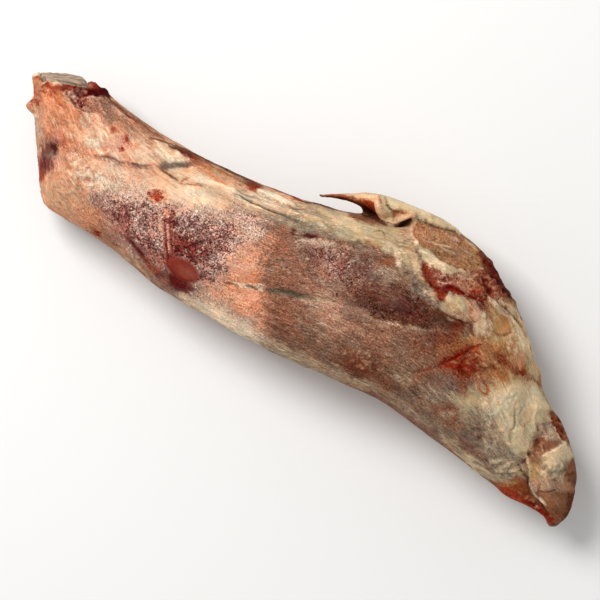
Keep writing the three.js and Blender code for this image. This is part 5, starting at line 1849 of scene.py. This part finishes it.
        # The shader
        dry, by_wet, varies = self.roughness
        coat, coat_roughness = self.coat
        strand_height = fibres * fibrous * 0.6 + strands * stranded + (curls - hollows) * 0.4
        fleck_height = (speckle + flecks * 0.5 - pits) * (coarse + 0.02)
        relief = bench.bump(strand_height, self.strand_depth)
        relief = bench.bump(fleck_height, self.fleck_depth, relief)
        inputs = {
            "Base Color": lit,
            "Roughness": dry - wet * by_wet + (speckle - 0.5) * varies,
            "Coat Weight": wet * coat,
            "Coat Roughness": coat_roughness,
            "Normal": relief,
            "Specular IOR Level": 0.0,
            "Subsurface Weight": self.softness,
            "Subsurface Radius": self.bleed_shares,
            "Subsurface Scale": self.bleed,
        }
        for name, value in inputs.items():
            bench.feed(bench.shader.inputs[name], value)
        return bench.material


@dataclass(frozen=True)
class BoneFinish:
    """The finish of sawn bone: grey-beige, scratched by the saw, with red marrow in its pores.

    Attributes:
        colour: Colour of the bone.
        rim: Colour of the rims between two scratches.
        marrow: Colour of the marrow.
        pore: Size of the pores.
        scratch: Width of a scratch.
        along: Scale of the scratches along, and across in two ways.
        saw_turn: The way that the saw ran, about Z.
        rim_share: Strength of the rims.
        marrow_share: Strength of the marrow.
        roughness: Roughness, and how much it varies.
        depth: Depth of scratches and pores.
    """

    colour: str = "6a5240"
    rim: str = "c9aa8a"
    marrow: str = "7c4a3c"
    pore: float = 0.9 * MM
    scratch: float = 1.0 * MM
    along: Triple = (0.12, 1.0, 1.0)
    saw_turn: float = math.radians(-20.5)
    rim_share: float = 0.8
    marrow_share: float = 0.55
    roughness: Pair = (0.6, 0.3)
    depth: float = 0.5 * MM

    def material(self) -> bpy.types.Material:
        """Makes the material."""
        bench = Bench("bone")
        place = bench.place()
        pores = bench.noise(place, self.pore, detail=3.0)
        along_saw = bench.stretch(bench.turned(place, self.saw_turn), self.along)
        saw = bench.noise(along_saw, self.scratch, twist=0.4)
        rims = saw.rises(0.36, 0.64) * self.rim_share
        colour = bench.mix(rims, (*linear(self.colour), 1.0), (*linear(self.rim), 1.0))
        colour = bench.mix(pores.rises(0.56, 0.7) * self.marrow_share, colour, (*linear(self.marrow), 1.0))
        roughness, varies = self.roughness
        bench.feed(bench.shader.inputs["Base Color"], colour)
        bench.feed(bench.shader.inputs["Roughness"], roughness + (saw - 0.5) * varies)
        bench.feed(bench.shader.inputs["Normal"], bench.bump(saw * 0.6 + pores * 0.4, self.depth))
        return bench.material


@dataclass(frozen=True)
class Ripple:
    """An unevenness of the surface: its depth and the size of its lumps."""

    depth: float
    size: float


@dataclass
class ShankMeat:
    """The meat in one piece, with fat, membrane and tendons in its surface.

    Attributes:
        voxel: Size of the faces.
        first_smoothing: Rounds of smoothing for all of the even mesh.
        smoothing: Rounds after that for all but the thin tongue of fat.
        fine_smoothing: Rounds for the faces that were split.
        fine_above: Faces that face up more than this are split into finer ones.
        pocket_gap: How close to the bone its pocket lies.
        bar: Radius of the round bar that the fibres are laid along.
        fan: How far the fibres turn aside towards the knuckle.
        fan_from: Where they start to turn.
        flank_above: Markings run on round the flank where it faces up more than this.
        wander: Sizes of the broad and the fine wander of the markings' edges.
        fine_wander: Strength of the fine one.
        breaks: Size of the breaks in patchy markings.
        break_levels: Levels of the noise between which a break grows to full.
        paint_fades: How far up the surface faces where the upper markings start and where they are full.
        rise_fades: The same of their rise.
        foot_fades: Heights where the relief starts and where it is full.
        lumps: Broad lumps all over.
        ridges: Ridges of fibrous tissue.
        ridge_along: Scale of the ridges along the shank, against across.
        grains: Grains of coarse tissue.
        folds: Folds of wrinkled membrane.
        fold_width: Half the width of a fold, in levels of its noise.
        seed: Seed of the noise.
    """

    voxel: float = 1.23 * MM
    first_smoothing: int = 2
    smoothing: int = 4
    fine_smoothing: int = 2
    fine_above: float = 0.12
    pocket_gap: float = 1.2 * MM
    bar: float = 25 * MM
    fan: float = 0.45
    fan_from: float = -75 * MM
    flank_above: float = 0.15
    wander: Pair = (4.5 * MM, 1.4 * MM)
    fine_wander: float = 0.6
    breaks: float = 5 * MM
    break_levels: Pair = (-0.3, 0.4)
    paint_fades: Pair = (-0.3, 0.1)
    rise_fades: Pair = (-0.1, 0.35)
    foot_fades: Pair = (0.5 * MM, 4 * MM)
    lumps: Ripple = Ripple(0.35 * MM, 11 * MM)
    ridges: Ripple = Ripple(0.18 * MM, 2.6 * MM)
    ridge_along: float = 0.14
    grains: Ripple = Ripple(0.2 * MM, 2.2 * MM)
    folds: Ripple = Ripple(0.5 * MM, 6 * MM)
    fold_width: float = 0.22
    seed: int = 7

    def build(self, meat: bpy.types.Object, bone: bpy.types.Object) -> bpy.types.Object:
        """Builds the meat over its solid.

        Args:
            meat: The meat's node.
            bone: The bone's node, which lies in the meat.

        Returns:
            The finished piece.
        """
        self.noise = SpaceNoise(self.seed)
        piece = object_of("shank_meat", cad_copy(meat))
        inner = cad_copy(bone)
        self.pocket = BVHTree.FromBMesh(inner)
        inner.free()
        remesh(piece, self.voxel)
        self.refine(piece.data)
        self.dress(piece.data)
        piece.data.materials.append(MeatFinish().material())
        shade_smooth(piece)
        return piece

    def outside(self, face: bmesh.types.BMFace) -> bool:
        """Tells whether a face lies in the outer skin, not in the bone's pocket."""
        return self.pocket.find_nearest(face.calc_center_median(), self.pocket_gap)[0] is None

    def refine(self, mesh: bpy.types.Mesh) -> None:
        """Smooths the even mesh, sparing the thin tongue of fat, and splits the faces of the upper side."""
        thin = TONGUE.outside(VIEW.pixels(mesh_places(mesh))) < 0
        shape = bmesh.new()
        shape.from_mesh(mesh)
        smooth(shape, shape.verts[:], self.first_smoothing)
        smooth(shape, [v for v, is_thin in zip(shape.verts, thin) if not is_thin], self.smoothing)
        shape.normal_update()
        upper = {
            edge
            for face in shape.faces
            if face.normal.z > self.fine_above and self.outside(face)
            for edge in face.edges
        }
        bmesh.ops.subdivide_edges(shape, edges=list(upper), cuts=1, use_grid_fill=True)
        smooth(shape, [v for v in shape.verts if v.normal.z > self.fine_above], self.fine_smoothing)
        shape.to_mesh(mesh)
        shape.free()

    def bar_places(self, places: np.ndarray) -> np.ndarray:
        """Gives places on a round bar that the shank is laid along, so that fibres follow its shape.

        Args:
            places: Places on the shank, one in each row.

        Returns:
            The same places along and round the bar.
        """
        step, least = 2 * MM, 4 * MM
        slices = np.round(places[:, 0] / step).astype(int)
        marks = np.unique(slices)
        low = np.array([places[slices == m, 1:].min(0) for m in marks])
        high = np.array([places[slices == m, 1:].max(0) for m in marks])
        middle, half = (low + high) / 2, np.maximum((high - low) / 2, least)
        round_bar = [
            (places[:, 1 + i] - np.interp(places[:, 0], marks * step, middle[:, i]))
            / np.interp(places[:, 0], marks * step, half[:, i])
            * self.bar
            for i in (0, 1)
        ]
        return np.column_stack([places[:, 0], *round_bar])

    def unfolded(self, places: np.ndarray, normals: np.ndarray, bar: np.ndarray) -> np.ndarray:
        """Folds the lower half of the flanks outwards, so that markings end there and don't run down.

        Args:
            places: Places on the shank, one in each row.
            normals: The way that the surface faces there.
            bar: The same places on the round bar.

        Returns:
            The places with those of the lower half moved outwards.
        """
        steep = 1 - smooth_step(0, self.flank_above, normals[:, 2])
        outwards = np.sign(bar[:, 1]) * np.maximum(-bar[:, 2], 0) * steep
        return places + np.column_stack([np.zeros(len(places)), outwards, np.zeros(len(places))])

    def ragged(self, places: np.ndarray) -> np.ndarray:
        """Gives the noise that the edges of markings wander by."""
        broad, fine = (self.noise.at(places, size, 2) for size in self.wander)
        return broad + self.fine_wander * fine

    def dress(self, mesh: bpy.types.Mesh) -> None:
        """Lays the tissues over the mesh, raises and sinks them, and writes them into its attributes."""
        places, normals = mesh_places(mesh), mesh_normals(mesh)
        bar = self.bar_places(places)
        seen = VIEW.pixels(self.unfolded(places, normals, bar))
        looks = self.tissues(places, normals, seen, bar)
        rise = self.relief(places, normals, seen, bar, looks)
        moved = places + normals * rise[:, None]
        moved[:, 2] = np.maximum(moved[:, 2], 0)
        move_mesh(mesh, moved)
        full = np.ones(len(looks))
        bar[:, 1] += self.fan * np.minimum(bar[:, 0] - self.fan_from, 0)
        self.write(mesh, "tone", "FLOAT_COLOR", "color", np.column_stack([looks[:, :3], full]))
        self.write(mesh, "traits", "FLOAT_COLOR", "color", np.column_stack([looks[:, 3:6], full]))
        self.write(mesh, "feel", "FLOAT_COLOR", "color", np.column_stack([looks[:, 6:9], full]))
        self.write(mesh, "lie", "FLOAT_VECTOR", "vector", bar)

    def tissues(
        self, places: np.ndarray, normals: np.ndarray, seen: np.ndarray, bar: np.ndarray
    ) -> np.ndarray:
        """Works out which tissue shows where.

        Args:
            places: Places on the surface, one in each row.
            normals: The way that the surface faces there.
            seen: The pixels that the places are seen at.
            bar: The places on the round bar.

        Returns:
            The look of each place, as a row of numbers.
        """
        # Noises a metre apart have nothing in common
        wander = np.column_stack([self.ragged(places + shift) for shift in (0.0, 1.0)])
        breaks = smooth_step(*self.break_levels, self.noise.at(places + 2.0, self.breaks, 3))
        looks = np.tile(Tissue.TAN.value.numbers, (len(places), 1))
        round_it = np.column_stack([bar[:, 0], np.arctan2(-bar[:, 1], bar[:, 2]) * self.bar]) / MM
        upper = smooth_step(*self.paint_fades, normals[:, 2])
        for markings, spots, shown in ((FLANK_MARKINGS, round_it, 1 - upper), (MARKINGS, seen, upper)):
            for marking in markings:
                near = marking.near(spots)
                mask = marking.mask(spots[near] + marking.edge[1] * wander[near])
                share = mask * marking.cover * shown[near] * (1 - marking.patchy * breaks[near])
                looks[near] += share[:, None] * (marking.tissue.value.numbers - looks[near])
        return looks

    def relief(
        self, places: np.ndarray, normals: np.ndarray, seen: np.ndarray, bar: np.ndarray, looks: np.ndarray
    ) -> np.ndarray:
        """Works out how far the surface is raised or sunk.

        Args:
            places: Places on the surface, one in each row.
            normals: The way that the surface faces there.
            seen: The pixels that the places are seen at.
            bar: The places on the round bar.
            looks: The look of each place.

        Returns:
            The rise of each place.
        """
        rise = np.zeros(len(places))
        for marking in MARKINGS:
            if marking.rise:
                near = marking.near(seen)
                rise[near] += marking.rise * MM * marking.mask(seen[near])
        rise *= smooth_step(*self.rise_fades, normals[:, 2])
        for bulge in BULGES:
            rise += bulge.lift(places)
        fibrous, coarse, folded = looks[:, 5], looks[:, 7], looks[:, 8]
        rise += self.lumps.depth * self.noise.at(places, self.lumps.size, 2)
        drawn_out = bar * np.array([self.ridge_along, 1, 1])
        rise += self.ridges.depth * fibrous * self.noise.at(drawn_out, self.ridges.size, 2)
        rise += self.grains.depth * coarse * self.noise.at(places, self.grains.size, 2)
        creases = np.abs(self.noise.at(places, self.folds.size, 2))
        rise -= self.folds.depth * folded * (1 - smooth_step(0, self.fold_width, creases))
        return rise * smooth_step(*self.foot_fades, places[:, 2])

    @staticmethod
    def write(mesh: bpy.types.Mesh, name: str, kind: str, part: str, values: np.ndarray) -> None:
        """Writes an attribute of a mesh's vertices."""
        mesh.attributes.new(name, kind, "POINT").data.foreach_set(part, values.astype(np.float32).ravel())


@dataclass
class LegBone:
    """The leg bone, which shows at the sawn knuckle face.

    Attributes:
        voxel: Size of the faces.
        smoothing: Rounds of smoothing.
        unevenness: Unevenness that the saw left.
        along: Scale of that along the shank, against across.
        saw_faces: The way that the sawn face faces.
        sawn_levels: How nearly a place faces that way to start to count as sawn, and to count in full.
        proud: How far the sawn face stands out.
        seed: Seed of the noise.
    """

    voxel: float = 0.7 * MM
    smoothing: int = 2
    unevenness: Ripple = Ripple(0.35 * MM, 3 * MM)
    along: float = 0.4
    saw_faces: Triple = (-0.468, 0.846, 0.254)
    sawn_levels: Pair = (0.5, 0.9)
    proud: float = 0.6 * MM
    seed: int = 11

    def build(self, bone: bpy.types.Object) -> bpy.types.Object:
        """Builds the bone over its solid and gives the finished piece."""
        piece = object_of("leg_bone", cad_copy(bone))
        remesh(piece, self.voxel)
        shape = bmesh.new()
        shape.from_mesh(piece.data)
        smooth(shape, shape.verts[:], self.smoothing)
        shape.to_mesh(piece.data)
        shape.free()
        places, normals = mesh_places(piece.data), mesh_normals(piece.data)
        drawn_out = places * np.array([self.along, 1, 1])
        rise = self.unevenness.depth * SpaceNoise(self.seed).at(drawn_out, self.unevenness.size, 3)
        sawn = smooth_step(*self.sawn_levels, normals @ np.array(self.saw_faces))
        moved = places + normals * rise[:, None] + self.proud * sawn[:, None] * np.array(self.saw_faces)
        move_mesh(piece.data, moved)
        piece.data.materials.append(BoneFinish().material())
        shade_smooth(piece)
        return piece


@dataclass
class Studio:
    """A pale floor and soft white light from the knuckle's side.

    Attributes:
        floor_side: Side of the floor.
        floor_colour: The floor's colour.
        floor_roughness: The floor's roughness.
        sky: Strength of the light from all round.
        key_power: Power of the main light, in watts.
        key_side: Side of the main light.
        key_at: Where the main light stands.
    """

    floor_side: float = 4.0
    floor_colour: str = "f4f3f1"
    floor_roughness: float = 0.9
    sky: float = 0.48
    key_power: float = 7.5
    key_side: float = 0.4
    key_at: Triple = (-0.55, 0.12, 0.8)

    def build(self) -> None:
        """Adds the floor, the light and the sky, and shows colours as they are painted."""
        shape = bmesh.new()
        bmesh.ops.create_grid(shape, x_segments=1, y_segments=1, size=self.floor_side / 2)
        floor = object_of("floor", shape)
        bench = Bench("floor")
        bench.shader.inputs["Base Color"].default_value = (*linear(self.floor_colour), 1.0)
        bench.shader.inputs["Roughness"].default_value = self.floor_roughness
        floor.data.materials.append(bench.material)
        light = bpy.data.lights.new("key", "AREA")
        light.energy = self.key_power
        light.size = self.key_side
        lamp = new_object("key", light)
        lamp.location = self.key_at
        lamp.rotation_euler = (-Vector(self.key_at)).to_track_quat("-Z", "Y").to_euler()
        world = bpy.data.worlds.new("sky")
        world.use_nodes = True
        world.node_tree.nodes["Background"].inputs["Color"].default_value = (1.0, 1.0, 1.0, 1.0)
        world.node_tree.nodes["Background"].inputs["Strength"].default_value = self.sky
        bpy.context.scene.world = world
        bpy.context.scene.view_settings.view_transform = "Standard"


def main() -> None:
    """Builds the shank over its solids, and the studio round it."""
    logging.basicConfig(level=logging.INFO, format="%(name)s %(message)s")
    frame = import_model()
    nodes = frame["nodes"]
    VIEW.make_camera()
    Studio().build()
    meat = ShankMeat().build(nodes["meat"], nodes["bone"])
    place_on_body(meat, "meat", "meat")
    bone = LegBone().build(nodes["bone"])
    place_on_body(bone, "bone", "bone")


if __name__ == "__main__":
    main()
